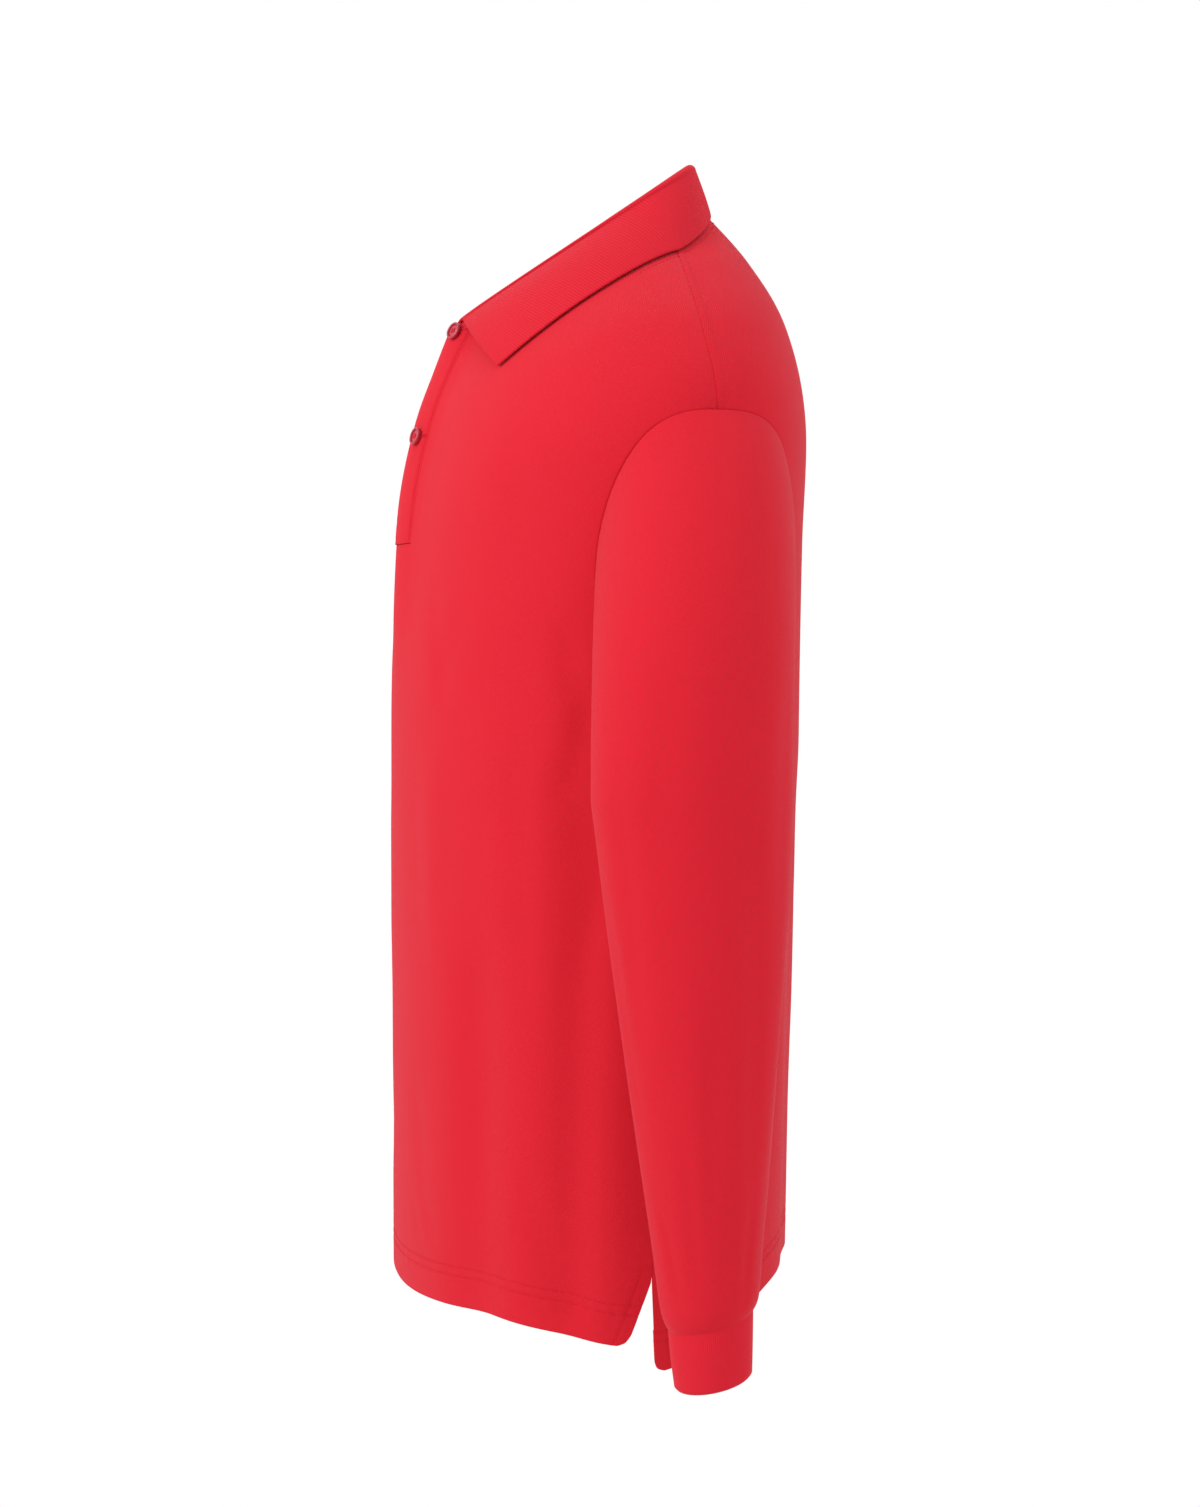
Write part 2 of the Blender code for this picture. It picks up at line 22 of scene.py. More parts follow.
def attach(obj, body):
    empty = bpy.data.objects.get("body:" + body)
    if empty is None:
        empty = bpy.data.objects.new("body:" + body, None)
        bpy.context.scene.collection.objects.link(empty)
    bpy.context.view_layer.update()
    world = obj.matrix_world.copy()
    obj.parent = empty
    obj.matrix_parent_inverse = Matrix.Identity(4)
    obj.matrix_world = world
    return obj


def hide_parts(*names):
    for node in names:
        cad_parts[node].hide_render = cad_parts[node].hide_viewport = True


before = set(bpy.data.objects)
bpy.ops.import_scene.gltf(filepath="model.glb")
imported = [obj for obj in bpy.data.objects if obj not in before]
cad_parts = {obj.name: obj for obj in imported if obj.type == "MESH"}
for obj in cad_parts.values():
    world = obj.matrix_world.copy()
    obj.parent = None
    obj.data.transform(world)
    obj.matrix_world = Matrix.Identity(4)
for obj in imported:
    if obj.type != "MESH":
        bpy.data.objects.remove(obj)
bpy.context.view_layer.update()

Array = np.ndarray
Row = tuple[float, ...]
log = logging.getLogger("polo_shirt")


# ---- curves through table rows ----
def through_rows(rows: Sequence[Row], level: Array) -> Array:
    """Smooth curve through the rows of a table.

    Args:
        rows: the table.
        level: where on it, counted in rows.

    Returns:
        One row of values for each level.
    """
    table = np.asarray(rows, dtype=float)
    last = len(table) - 1
    level = np.clip(np.asarray(level, dtype=float), 0.0, last)
    low = np.minimum(level.astype(int), last - 1)
    t = (level - low)[..., None]
    here, there = table[low], table[low + 1]
    start = (there - table[np.maximum(low - 1, 0)]) / 2
    end = (table[np.minimum(low + 2, last)] - here) / 2
    return (
        here * (1 - t) ** 2 * (1 + 2 * t)
        + start * t * (1 - t) ** 2
        + there * t**2 * (3 - 2 * t)
        - end * t**2 * (1 - t)
    )


def named(columns: Sequence[str], row: Array) -> SimpleNamespace:
    """Values of a table row, or of many rows, by the names of their columns."""
    return SimpleNamespace(**dict(zip(columns, np.moveaxis(np.asarray(row, dtype=float), -1, 0))))


def smooth_step(t: Array) -> Array:
    """Ease from 0 to 1 as t goes from 0 to 1."""
    t = np.clip(t, 0.0, 1.0)
    return t * t * (3 - 2 * t)


def mix(start: Array | float, end: Array | float, share: Array | float) -> Array | float:
    """Value that goes from start to end as share goes from 0 to 1."""
    return start + (end - start) * share


def unit(vectors: Array) -> Array:
    """Vectors brought to length 1."""
    return vectors / np.maximum(np.linalg.norm(vectors, axis=-1, keepdims=True), 1e-12)


def travelled(points: Array, axis: int = 0) -> Array:
    """Distance from the first point to each one along a path or along the lines of a grid."""
    steps = np.diff(points, axis=axis, prepend=points.take([0], axis=axis))
    return np.linalg.norm(steps, axis=-1).cumsum(axis=axis)


# ---- creases ----
@dataclass(frozen=True)
class Creases:
    """Soft troughs and ridges in a surface, each along a straight line on the cloth.

    A row is the line's two ends, x and y in metres on the cloth, the half width and the depth. A negative
    depth is a ridge. Beside each trough the cloth swells a little on one side.
    """

    rows: tuple[Row, ...]
    wrap: float = 0.0  # distance after which x comes round again, 0 for never
    swell: float = 0.35
    swell_away: float = 1.9  # in half widths
    fade: float = 0.35  # share of the line over which a crease deepens at each end

    def depth(self, x: Array, y: Array) -> Array:
        """How far the cloth is pulled in.

        Args:
            x: distance across the cloth.
            y: distance along the cloth.

        Returns:
            Depth at each place, in metres.
        """
        total = np.zeros(np.broadcast(x, y).shape)
        for x_0, y_0, x_1, y_1, half_width, depth in self.rows:
            away_x = x - x_0
            if self.wrap:
                away_x = np.mod(away_x + self.wrap / 2, self.wrap) - self.wrap / 2
            along_x, along_y = x_1 - x_0, y_1 - y_0
            length = float(np.hypot(along_x, along_y))
            t = (away_x * along_x + (y - y_0) * along_y) / length**2
            across = (away_x * along_y - (y - y_0) * along_x) / length / half_width
            ends = smooth_step(t / self.fade) * smooth_step((1 - t) / self.fade)
            beside = self.swell * np.exp(-((across - self.swell_away) ** 2))
            total = total + depth * ends * (np.exp(-(across**2)) - beside)
        return total


# ---- the body's form ----
@dataclass(frozen=True)
class BodyForm:
    """Form of the body from below the hem up to the neckline, and what is cut on it.

    Each ring passes through a front, a side and a back point. Between them it is a quarter of an ellipse
    seen from above, and its height moves from one to the next as a power of the cosine of the angle.
    """

    columns: tuple[str, ...] = (
        "front_y", "front_z", "side_x", "side_y", "side_z", "back_y", "back_z", "power", "keel",
    )
    rings: tuple[Row, ...] = (
        (-0.1430, -0.760, 0.212, -0.024, -0.760, 0.1240, -0.760, 2.0, 0.0000),
        (-0.1436, -0.600, 0.212, -0.017, -0.600, 0.1265, -0.600, 2.0, 0.0000),
        (-0.1443, -0.450, 0.213, -0.008, -0.450, 0.1290, -0.450, 2.0, 0.0000),
        (-0.1445, -0.310, 0.215, 0.003, -0.310, 0.1290, -0.310, 2.0, 0.0010),
        (-0.1400, -0.245, 0.226, 0.010, -0.220, 0.1275, -0.215, 2.0, 0.0055),
        (-0.1330, -0.180, 0.235, 0.015, -0.137, 0.1270, -0.130, 2.0, 0.0080),
        (-0.1210, -0.128, 0.202, 0.015, -0.082, 0.1175, -0.062, 1.9, 0.0090),
        (-0.1060, -0.090, 0.144, 0.020, -0.038, 0.0965, -0.014, 1.6, 0.0105),
        (-0.0910, -0.062, 0.076, 0.029, 0.000, 0.0695, 0.025, 1.4, 0.0150),
    )
    keel_x: float = -0.008
    keel_width: float = 0.025
    underarm: float = 3.0
    shoulder_tip: float = 5.0
    neck: float = 8.0
    front_hem: Row = (-0.7235, -0.7170, -0.7270)  # at the centre, between, and at the vents
    front_hem_dips: Row = (8, 8)
    back_hem: Row = (-0.697, -0.744)  # at the centre and at the vents
    back_hem_dip: float = 8
    vent_top_z: float = -0.686
    vent_front_open: float = 0.014
    vent_back_open: float = 0.004
    armhole_front: float = radians(25.5)
    armhole_back: float = radians(35)
    armhole_fullness: float = 0.68
    seam_gap: float = 0.0003
    seam_ease: float = 0.05
    fold_columns: tuple[str, ...] = ("angle", "top_z", "bottom_z", "half_width", "depth")
    fold_radius: float = 0.17  # turns an angle into a distance along the cloth
    fold_fades: Row = (0.12, 0.05)
    folds: tuple[Row, ...] = (
        (radians(38), -0.42, -0.73, 0.024, 0.0050),
        (radians(66), -0.30, -0.70, 0.022, 0.0060),
        (radians(-34), -0.40, -0.73, 0.026, 0.0045),
        (radians(-63), -0.32, -0.70, 0.022, 0.0055),
        (radians(150), -0.34, -0.70, 0.030, 0.0050),
        (radians(-146), -0.36, -0.70, 0.030, 0.0055),
    )
    creases: Creases = Creases(
        rows=(
            # wearer's left, front half: x is angle times fold_radius
            (0.055, -0.235, 0.078, -0.335, 0.0085, 0.0007),
            (0.092, -0.240, 0.070, -0.330, 0.0100, 0.0006),
            (0.060, -0.330, 0.062, -0.520, 0.0140, -0.0012),
            (0.100, -0.430, 0.112, -0.690, 0.0130, 0.0012),
            (0.140, -0.300, 0.158, -0.560, 0.0110, 0.0010),
            (0.170, -0.260, 0.196, -0.350, 0.0100, 0.0014),
            (0.205, -0.300, 0.172, -0.400, 0.0090, 0.0010),
            (0.230, -0.330, 0.200, -0.500, 0.0110, 0.0012),
            (0.150, -0.600, 0.185, -0.700, 0.0110, 0.0012),
            (0.030, -0.560, 0.052, -0.660, 0.0110, 0.0007),
            (0.040, -0.640, 0.068, -0.690, 0.0070, 0.0006),
            (0.025, -0.655, 0.046, -0.690, 0.0060, 0.0005),
            (0.110, -0.130, 0.145, -0.215, 0.0130, 0.0009),
            (0.060, -0.110, 0.120, -0.165, 0.0140, 0.0006),
            # wearer's right, front half
            (-0.058, -0.245, -0.084, -0.350, 0.0090, 0.0007),
            (-0.090, -0.235, -0.074, -0.310, 0.0100, 0.0006),
            (-0.066, -0.350, -0.060, -0.540, 0.0140, -0.0011),
            (-0.096, -0.450, -0.116, -0.680, 0.0130, 0.0011),
            (-0.146, -0.310, -0.154, -0.540, 0.0120, 0.0010),
            (-0.176, -0.265, -0.200, -0.360, 0.0100, 0.0013),
            (-0.210, -0.310, -0.178, -0.420, 0.0095, 0.0010),
            (-0.226, -0.350, -0.196, -0.520, 0.0110, 0.0011),
            (-0.034, -0.570, -0.058, -0.660, 0.0110, 0.0007),
            (-0.106, -0.135, -0.150, -0.210, 0.0130, 0.0009),
            # back
            (0.300, -0.260, 0.345, -0.360, 0.0120, 0.0014),
            (0.330, -0.180, 0.400, -0.250, 0.0140, 0.0010),
            (0.380, -0.420, 0.372, -0.640, 0.0150, 0.0012),
            (0.520, -0.400, 0.530, -0.640, 0.0160, 0.0012),
            (0.470, -0.360, 0.462, -0.600, 0.0180, -0.0012),
            (-0.306, -0.270, -0.350, -0.370, 0.0125, 0.0013),
            (-0.326, -0.185, -0.410, -0.255, 0.0140, 0.0010),
            (-0.390, -0.440, -0.380, -0.650, 0.0150, 0.0012),
            (-0.280, -0.420, -0.300, -0.640, 0.0140, 0.0012),
        ),
        wrap=2 * pi * fold_radius,
    )

    def ring(self, level: Array | float) -> SimpleNamespace:
        """Ring at a level, its values by the names of the columns."""
        return named(self.columns, through_rows(self.rings, level))

    def ring_point(self, angle: Array, level: Array) -> Array:
        """Point of the form before folds.

        Args:
            angle: angle round the body.
            level: level on it.

        Returns:
            The point.
        """
        ring = self.ring(level)
        turn = np.cos(angle)
        ahead = turn >= 0
        reach = np.abs(turn)
        x = ring.side_x * np.sin(angle)
        keel = np.where(ahead, ring.keel, 0.0) * np.exp(-(((x - self.keel_x) / self.keel_width) ** 2))
        end_y = np.where(ahead, ring.front_y, ring.back_y)
        end_z = np.where(ahead, ring.front_z, ring.back_z)
        y = mix(ring.side_y, end_y, reach) - keel
        z = mix(ring.side_z, end_z, reach**ring.power)
        return np.stack((x, y, z), axis=-1)

    def pulled_in(self, angle: Array, point: Array) -> Array:
        """How far the folds and creases pull the cloth in.

        Args:
            angle: angle round the body.
            point: the form's point there.

        Returns:
            The depth, in metres.
        """
        height = point[..., 2]
        depth = np.zeros(np.shape(angle))
        fade_in, fade_out = self.fold_fades
        for row in self.folds:
            fold = named(self.fold_columns, row)
            turn = np.mod(angle - fold.angle + pi, 2 * pi) - pi
            away = turn * self.fold_radius / fold.half_width
            begins = smooth_step((fold.top_z - height) / fade_in)
            ends = smooth_step((height - fold.bottom_z) / fade_out + 1)
            depth = depth + fold.depth * np.exp(-(away**2)) * begins * ends
        return depth + self.creases.depth(angle * self.fold_radius, height)

    def outward(self, angle: Array, level: Array) -> Array:
        """Outward unit normal of the form."""
        step = 1e-4
        along = self.ring_point(angle + step, level) - self.ring_point(angle - step, level)
        top = np.minimum(level + step, self.neck)
        up = self.ring_point(angle, top) - self.ring_point(angle, top - 2 * step)
        return unit(np.cross(along, up))

    def point(self, angle: Array, level: Array, proud: Array | float = 0.0) -> Array:
        """Point of the cloth's outer face, moved out by proud."""
        angle, level = np.broadcast_arrays(np.asarray(angle, dtype=float), np.asarray(level, dtype=float))
        place = self.ring_point(angle, level)
        shift = proud - self.pulled_in(angle, place)
        return place + self.outward(angle, level) * shift[..., None]

    def level_at(self, height: Array) -> Array:
        """Level of a height below the underarm."""
        levels = np.linspace(0.0, self.underarm, 301)
        return np.interp(height, self.ring(levels).side_z, levels)

    def hem_height(self, angle: Array, front: bool) -> Array:
        """Height of a panel's hem.

        Args:
            angle: angle round the body.
            front: the front panel, or else the back one.

        Returns:
            The height of the fold.
        """
        side = np.abs(np.sin(angle))
        if front:
            centre, between, vent = self.front_hem
            centre_dip, vent_dip = self.front_hem_dips
            middle = np.abs(np.cos(angle)) ** centre_dip
            return mix(between, centre, middle) + (vent - between) * side**vent_dip
        centre, vent = self.back_hem
        return mix(centre, vent, side**self.back_hem_dip)

    def metres_per_radian(self, angle: Array, level: Array) -> Array:
        """Distance along the cloth for a small turn at a place."""
        step = 1e-3
        ahead = self.ring_point(angle + step, level)
        return np.linalg.norm(ahead - self.ring_point(angle - step, level), axis=-1) / (2 * step)

    def metres_per_level(self, angle: Array, level: Array) -> Array:
        """Distance up the cloth for a small change of level at a place."""
        step = 1e-3
        top = np.minimum(level + step, self.neck)
        above = self.ring_point(angle, top)
        return np.linalg.norm(above - self.ring_point(angle, top - 2 * step), axis=-1) / (2 * step)

    def armhole_level(self, turn: Array | float) -> Array:
        """Level at a turn round the armhole, 0 at the underarm and half a turn at the shoulder's tip."""
        return mix(self.underarm, self.shoulder_tip, (1 - np.cos(turn)) / 2)

    def armhole_point(self, turn: Array) -> Array:
        """Point of the armhole's edge, from the underarm round the front, the tip and the back."""
        reach = np.where(turn <= pi, -self.armhole_front, self.armhole_back)
        angle = pi / 2 + reach * np.abs(np.sin(turn)) ** self.armhole_fullness
        return self.point(angle, self.armhole_level(turn))

    def placket_half_angle(self, level: Array, half_width: Array | float) -> Array:
        """Angle from the centre front to a line half_width away from it."""
        return np.arcsin(half_width / self.ring(level).side_x)


# ---- making a piece of cloth ----
@dataclass
class Laid:
    """Where a grid of cloth lies, in metres.

    points has the outer face's points by row and column. edge is each point's distance from the nearest
    edge, and turned_in how far the cloth turns in beside a seam. cloth has the distances over the cloth
    for the knit's pattern, where they aren't to be measured on the grid.
    """

    points: Array
    edge: Array
    turned_in: Array | float = 0.0
    cloth: Array | None = None


SEWN_SHARPNESS = 8.0  # a sewn edge is rounded over this much less of the cloth than an open one


def turning_in(distance: Array, depth: Array | float, width: float = 0.0015) -> Array:
    """How far cloth turns in at a distance from a seam."""
    return depth * np.clip(1 - distance / width, 0, 1) ** 2


@dataclass(frozen=True)
class ClothMaker:
    """Makes a sewn piece from its laid-out grid."""

    wall: float
    weld: float = 2e-7  # points nearer than this become one

    @staticmethod
    def normals(points: Array, closed: bool) -> Array:
        """Unit normals of a grid, columns to the right and rows up as seen from outside."""
        if closed:
            ring = points[:, :-1]
            along = np.roll(ring, -1, axis=1) - np.roll(ring, 1, axis=1)
            along = np.concatenate((along, along[:, :1]), axis=1)
        else:
            along = np.gradient(points, axis=1)
        return unit(np.cross(along, np.gradient(points, axis=0)))

    @staticmethod
    def unrolled(points: Array) -> Array:
        """Distances over the cloth, across from its middle column and up from its first row."""
        across = travelled(points, axis=1)
        across -= across[:, points.shape[1] // 2][:, None]
        return np.stack((across, travelled(points)), axis=-1)

    def rim(self, edge: Array) -> Array:
        """Share of the wall's thickness at a distance from an open edge, 0 at the edge itself."""
        radius = self.wall / 2
        return np.sqrt(np.clip(1 - (1 - np.clip(edge / radius, 0, 1)) ** 2, 0, 1))

    @staticmethod
    def layer(sheet: bmesh.types.BMesh, points: Array, cloth: Array, outside: bool) -> list:
        """Add one face of the cloth to a mesh.

        Args:
            sheet: the mesh.
            points: its points, by row and column.
            cloth: distances over the cloth for the UV map.
            outside: whether it faces outwards.

        Returns:
            The new vertices, by row and then by column.
        """
        rows, columns = points.shape[:2]
        made = bmesh.ops.create_grid(sheet, x_segments=columns - 1, y_segments=rows - 1, size=0.5)["verts"]
        where = [
            (round((vert.co.y + 0.5) * (rows - 1)), round((vert.co.x + 0.5) * (columns - 1)))
            for vert in made
        ]
        uv = sheet.loops.layers.uv.verify()
        faces = set()
        for vert, place in zip(made, where):
            vert.co = points[place]
            across, up = cloth[place]
            for loop in vert.link_loops:
                loop[uv].uv = (across, up)
                faces.add(loop.face)
        if not outside:
            bmesh.ops.reverse_faces(sheet, faces=list(faces))
        ordered = [None] * (rows * columns)
        for vert, (row, column) in zip(made, where):
            ordered[row * columns + column] = vert
        return ordered

    def make(
        self,
        name: str,
        laid: Laid,
        material: bpy.types.Material,
        closed: bool = False,
        mirrored: bool = False,
        cut: Array | None = None,
        ribs: Array | float = 0.0,
    ) -> bpy.types.Object:
        """Build the piece and put it in the scene.

        Args:
            name: the piece's name.
            laid: where its grid lies.
            material: what it is made of.
            closed: whether the last column meets the first.
            mirrored: whether to turn it into its other-side twin.
            cut: faces to leave out, by row and column.
            ribs: how far the outer face stands out at each point.

        Returns:
            The piece's object.
        """
        normal = self.normals(laid.points, closed)
        pinch = self.wall / 2 * (1 - self.rim(laid.edge))
        cloth = self.unrolled(laid.points) if laid.cloth is None else laid.cloth
        rib_height = ribs * self.rim(laid.edge)
        outer = laid.points + normal * (rib_height - laid.turned_in - pinch)[..., None]
        inner = laid.points + normal * (pinch - laid.turned_in - self.wall)[..., None]
        sheet = bmesh.new()
        verts = self.layer(sheet, outer, cloth, True) + self.layer(sheet, inner, cloth, False)
        if cut is not None:
            self.cut_out(sheet, verts, cut)
        bmesh.ops.remove_doubles(sheet, verts=sheet.verts, dist=self.weld)
        if mirrored:
            bmesh.ops.scale(sheet, vec=(-1.0, 1.0, 1.0), verts=sheet.verts)
            bmesh.ops.reverse_faces(sheet, faces=sheet.faces)
        return add_piece(name, sheet, material)

    @staticmethod
    def cut_out(sheet: bmesh.types.BMesh, verts: list, cut: Array) -> None:
        """Delete marked faces of both layers.

        Args:
            sheet: the mesh.
            verts: its vertices, the outer layer's and then the inner one's, by row and column.
            cut: which faces go, by row and column.
        """
        rows, columns = cut.shape[0] + 1, cut.shape[1] + 1
        spare = set()
        for start in (0, rows * columns):
            for row, column in zip(*np.nonzero(cut)):
                corners = [
                    verts[start + (row + up) * columns + column + right]
                    for up, right in ((0, 0), (0, 1), (1, 1), (1, 0))
                ]
                spare.add(sheet.faces.get(corners))
        bmesh.ops.delete(sheet, geom=[face for face in spare if face], context="FACES")


def add_piece(name: str, shape: bmesh.types.BMesh, material: bpy.types.Material) -> bpy.types.Object:
    """Turn a shape into a smooth-shaded object in the scene.

    Args:
        name: the object's name.
        shape: the shape, which is used up.
        material: what it is made of.

    Returns:
        The object.
    """
    mesh = bpy.data.meshes.new(name)
    shape.to_mesh(mesh)
    shape.free()
    mesh.shade_smooth()
    mesh.materials.append(material)
    piece = bpy.data.objects.new(name, mesh)
    bpy.context.scene.collection.objects.link(piece)
    return piece


# distances from an edge at which a grid has a row or column, in metres
RIM_STEPS = np.array((0.0, 0.00004, 0.00016, 0.0004, 0.0008, 0.0014, 0.0022, 0.0034))


# ---- shader nodes ----
class Shade:
    """A socket of numbers in a material, with the arithmetic that its nodes need."""

    def __init__(self, material: bpy.types.Material, socket: bpy.types.NodeSocket) -> None:
        """Wrap one output socket of a material's nodes."""
        self.material = material
        self.socket = socket

    def maths(self, operation: str, *values: "Shade | float") -> "Shade":
        """Add one Math node.

        Args:
            operation: the node's operation.
            values: its inputs, numbers or sockets.

        Returns:
            Its result.
        """
        return Shade(self.material, add_node(
            self.material, "ShaderNodeMath", {"operation": operation}, dict(enumerate(values)),
        ).outputs[0])

    def __add__(self, other: "Shade | float") -> "Shade":
        """Sum."""
        return self.maths("ADD", self, other)

    def __sub__(self, other: "Shade | float") -> "Shade":
        """Difference."""
        return self.maths("SUBTRACT", self, other)

    def __rsub__(self, other: float) -> "Shade":
        """Difference from a number."""
        return self.maths("SUBTRACT", other, self)

    def __mul__(self, other: "Shade | float") -> "Shade":
        """Product."""
        return self.maths("MULTIPLY", self, other)

    __radd__ = __add__
    __rmul__ = __mul__

    def wave(self) -> "Shade":
        """Cosine of a number of turns."""
        return self.maths("COSINE", self * (2 * pi))

    def ranged(self, low: float, high: float) -> "Shade":
        """Carry 0 to 1 to the range from low to high."""
        return self * (high - low) + low


def add_node(
    material: bpy.types.Material, kind: str, settings: dict[str, object], inputs: dict
) -> bpy.types.Node:
    """Add a node to a material.

    Args:
        material: the material.
        kind: the node's type.
        settings: properties to set on it, before its sockets.
        inputs: a value, a Shade or a socket for each input, by name or number.

    Returns:
        The node.
    """
    node = material.node_tree.nodes.new(kind)
    for key, value in settings.items():
        setattr(node, key, value)
    feed(node, inputs)
    return node


def feed(node: bpy.types.Node, inputs: dict) -> None:
    """Set or connect inputs of a node.

    Args:
        node: the node.
        inputs: a value, a Shade or a socket for each input, by name or number.
    """
    for key, value in inputs.items():
        if isinstance(value, Shade):
            value = value.socket
        if isinstance(value, bpy.types.NodeSocket):
            node.id_data.links.new(value, node.inputs[key])
        else:
            node.inputs[key].default_value = value


def object_place(material: bpy.types.Material) -> bpy.types.NodeSocket:
    """Position in the object's own frame, in metres."""
    return add_node(material, "ShaderNodeTexCoord", {}, {}).outputs["Object"]


def cloudy(material: bpy.types.Material, place: bpy.types.NodeSocket, size: float) -> Shade:
    """Soft unevenness in patches of a given size, about 0 to 1."""
    noise = add_node(
        material, "ShaderNodeTexNoise", {}, {"Vector": place, "Scale": 1 / size, "Detail": 2.0},
    )
    return Shade(material, noise.outputs[0])


def colour_ramp(material: bpy.types.Material, shade_and_tone: Shade, deep: Row, bright: Row) -> bpy.types.NodeSocket:
    """Colour from deep to bright as its input goes from 0 to 1: painted shade for the knits and thread, own
    clouding for buttons.
    """
    return add_node(
        material, "ShaderNodeMix", {"data_type": "RGBA"}, {0: shade_and_tone, 6: (*deep, 1.0), 7: (*bright, 1.0)},
    ).outputs[2]


def relief(
    material: bpy.types.Material, height: Shade, metres: float, strength: float = 1.0
) -> bpy.types.NodeSocket:
    """Normal of a surface whose height goes up by some metres as height goes from 0 to 1."""
    return add_node(
        material, "ShaderNodeBump", {}, {"Strength": strength, "Distance": metres, "Height": height},
    ).outputs[0]


def new_material(name: str) -> tuple[bpy.types.Material, bpy.types.Node]:
    """Make a material and give it with its Principled shader."""
    material = bpy.data.materials.new(name)
    material.use_nodes = True
    return material, material.node_tree.nodes["Principled BSDF"]


class Knit(Enum):
    """How a cloth is knitted."""

    PIQUE = "pique"
    RIB = "rib"


@dataclass(frozen=True)
class KnitFinish:
    """Dyed cotton knit, its pattern on the cloth's own distances, with painted shade between the stitches.
    """

    name: str
    knit: Knit
    # painted shade: the red darkened in the pits between the stitches
    deep: Row  # colour in the pits between the stitches
    # painted light: the red lightened on top of the stitches
    bright: Row  # colour on top of the stitches
    across: float  # metres from one stitch to the next
    up: float
    height: float  # metres from pit to top
    rib_across: float = 0.6  # share of a rib's pattern that goes across, the rest goes up
    roughness: float = 0.82
    shine: float = 0.15
    mottle_size: float = 0.0035  # small unevenness of the yarn
    mottle: float = 0.16
    patch_size: float = 0.06  # large unevenness of the dye
    patch: float = 0.10
    fuzz: float = 0.22
    fuzz_roughness: float = 0.28
    fuzz_tint: Row = (1.0, 0.45, 0.52, 1.0)

    def material(self) -> bpy.types.Material:
        """Build the material.

        Returns:
            The material.
        """
        material, shader = new_material(self.name)
        cloth = add_node(material, "ShaderNodeUVMap", {}, {}).outputs["UV"]
        axes = add_node(material, "ShaderNodeSeparateXYZ", {}, {0: cloth})
        across = Shade(material, axes.outputs["X"]) * (1 / self.across)
        up = Shade(material, axes.outputs["Y"]) * (1 / self.up)
        if self.knit is Knit.PIQUE:
            stitches = (across.wave() * up.wave()).ranged(0.5, 1.0)
        else:
            across_share = self.rib_across
            stitches = (across.wave() * across_share + up.wave() * (1 - across_share)).ranged(0.5, 1.0)
        place = object_place(material)
        mottle = cloudy(material, place, self.mottle_size)
        patch = cloudy(material, place, self.patch_size)
        # painted shade and light: the stitch pattern darkens the pits and lightens the tops; mottle and
        # patch are the yarn's and the dye's own unevenness
        shade_and_tone = stitches * (1 - self.mottle - self.patch) + mottle * self.mottle + patch * self.patch
        height = stitches * (1 - self.mottle) + mottle * self.mottle
        feed(shader, {
            "Base Color": colour_ramp(material, shade_and_tone, self.deep, self.bright),
            "Normal": relief(material, height, self.height),
            "Roughness": self.roughness,
            "Specular IOR Level": self.shine,
            "Sheen Weight": self.fuzz,
            "Sheen Roughness": self.fuzz_roughness,
            "Sheen Tint": self.fuzz_tint,
        })
        return material


@dataclass(frozen=True)
class ThreadFinish:
    """Dyed sewing thread, its twist painted as bands of shade and light, with no relief."""

    name: str
    # deep is painted shade in the twist's grooves, bright is painted light on its turns
    deep: Row
    bright: Row
    twist: float = 0.0006  # metres from one turn of the twist to the next
    roughness: float = 0.75
    shine: float = 0.2

    def material(self) -> bpy.types.Material:
        """Build the material."""
        material, shader = new_material(self.name)
        axes = add_node(material, "ShaderNodeSeparateXYZ", {}, {0: object_place(material)})
        diagonal = Shade(material, axes.outputs["X"]) + Shade(material, axes.outputs["Y"])
        # painted shade: the colour darkens and lightens along the twist
        turns = (diagonal + Shade(material, axes.outputs["Z"])) * (1 / self.twist)
        feed(shader, {
            "Base Color": colour_ramp(material, turns.wave().ranged(0.5, 1.0), self.deep, self.bright),
            "Roughness": self.roughness,
            "Specular IOR Level": self.shine,
        })
        return material


@dataclass(frozen=True)
class ButtonFinish:
    """Dyed resin with faint clouding and a fine grain."""

    name: str
    deep: Row
    bright: Row
    cloud_size: float = 0.004
    grain_size: float = 0.0005
    grain_height: float = 0.00008
    grain_strength: float = 0.4
    roughness: Row = (0.28, 0.43)  # where the clouds are thin and where they are thick
    coat: float = 0.25

    def material(self) -> bpy.types.Material:
        """Build the material."""
        material, shader = new_material(self.name)
        place = object_place(material)
        cloud = cloudy(material, place, self.cloud_size)
        grain = cloudy(material, place, self.grain_size)
        feed(shader, {
            "Base Color": colour_ramp(material, cloud, self.deep, self.bright),
            "Normal": relief(material, grain, self.grain_height, self.grain_strength),
            "Roughness": cloud.ranged(*self.roughness),
            "Coat Weight": self.coat,
        })
        return material


@dataclass(frozen=True)
class Finishes:
    """The shirt's materials."""

    pique: bpy.types.Material
    rib: bpy.types.Material
    cuff: bpy.types.Material
    thread: bpy.types.Material
    button: bpy.types.Material


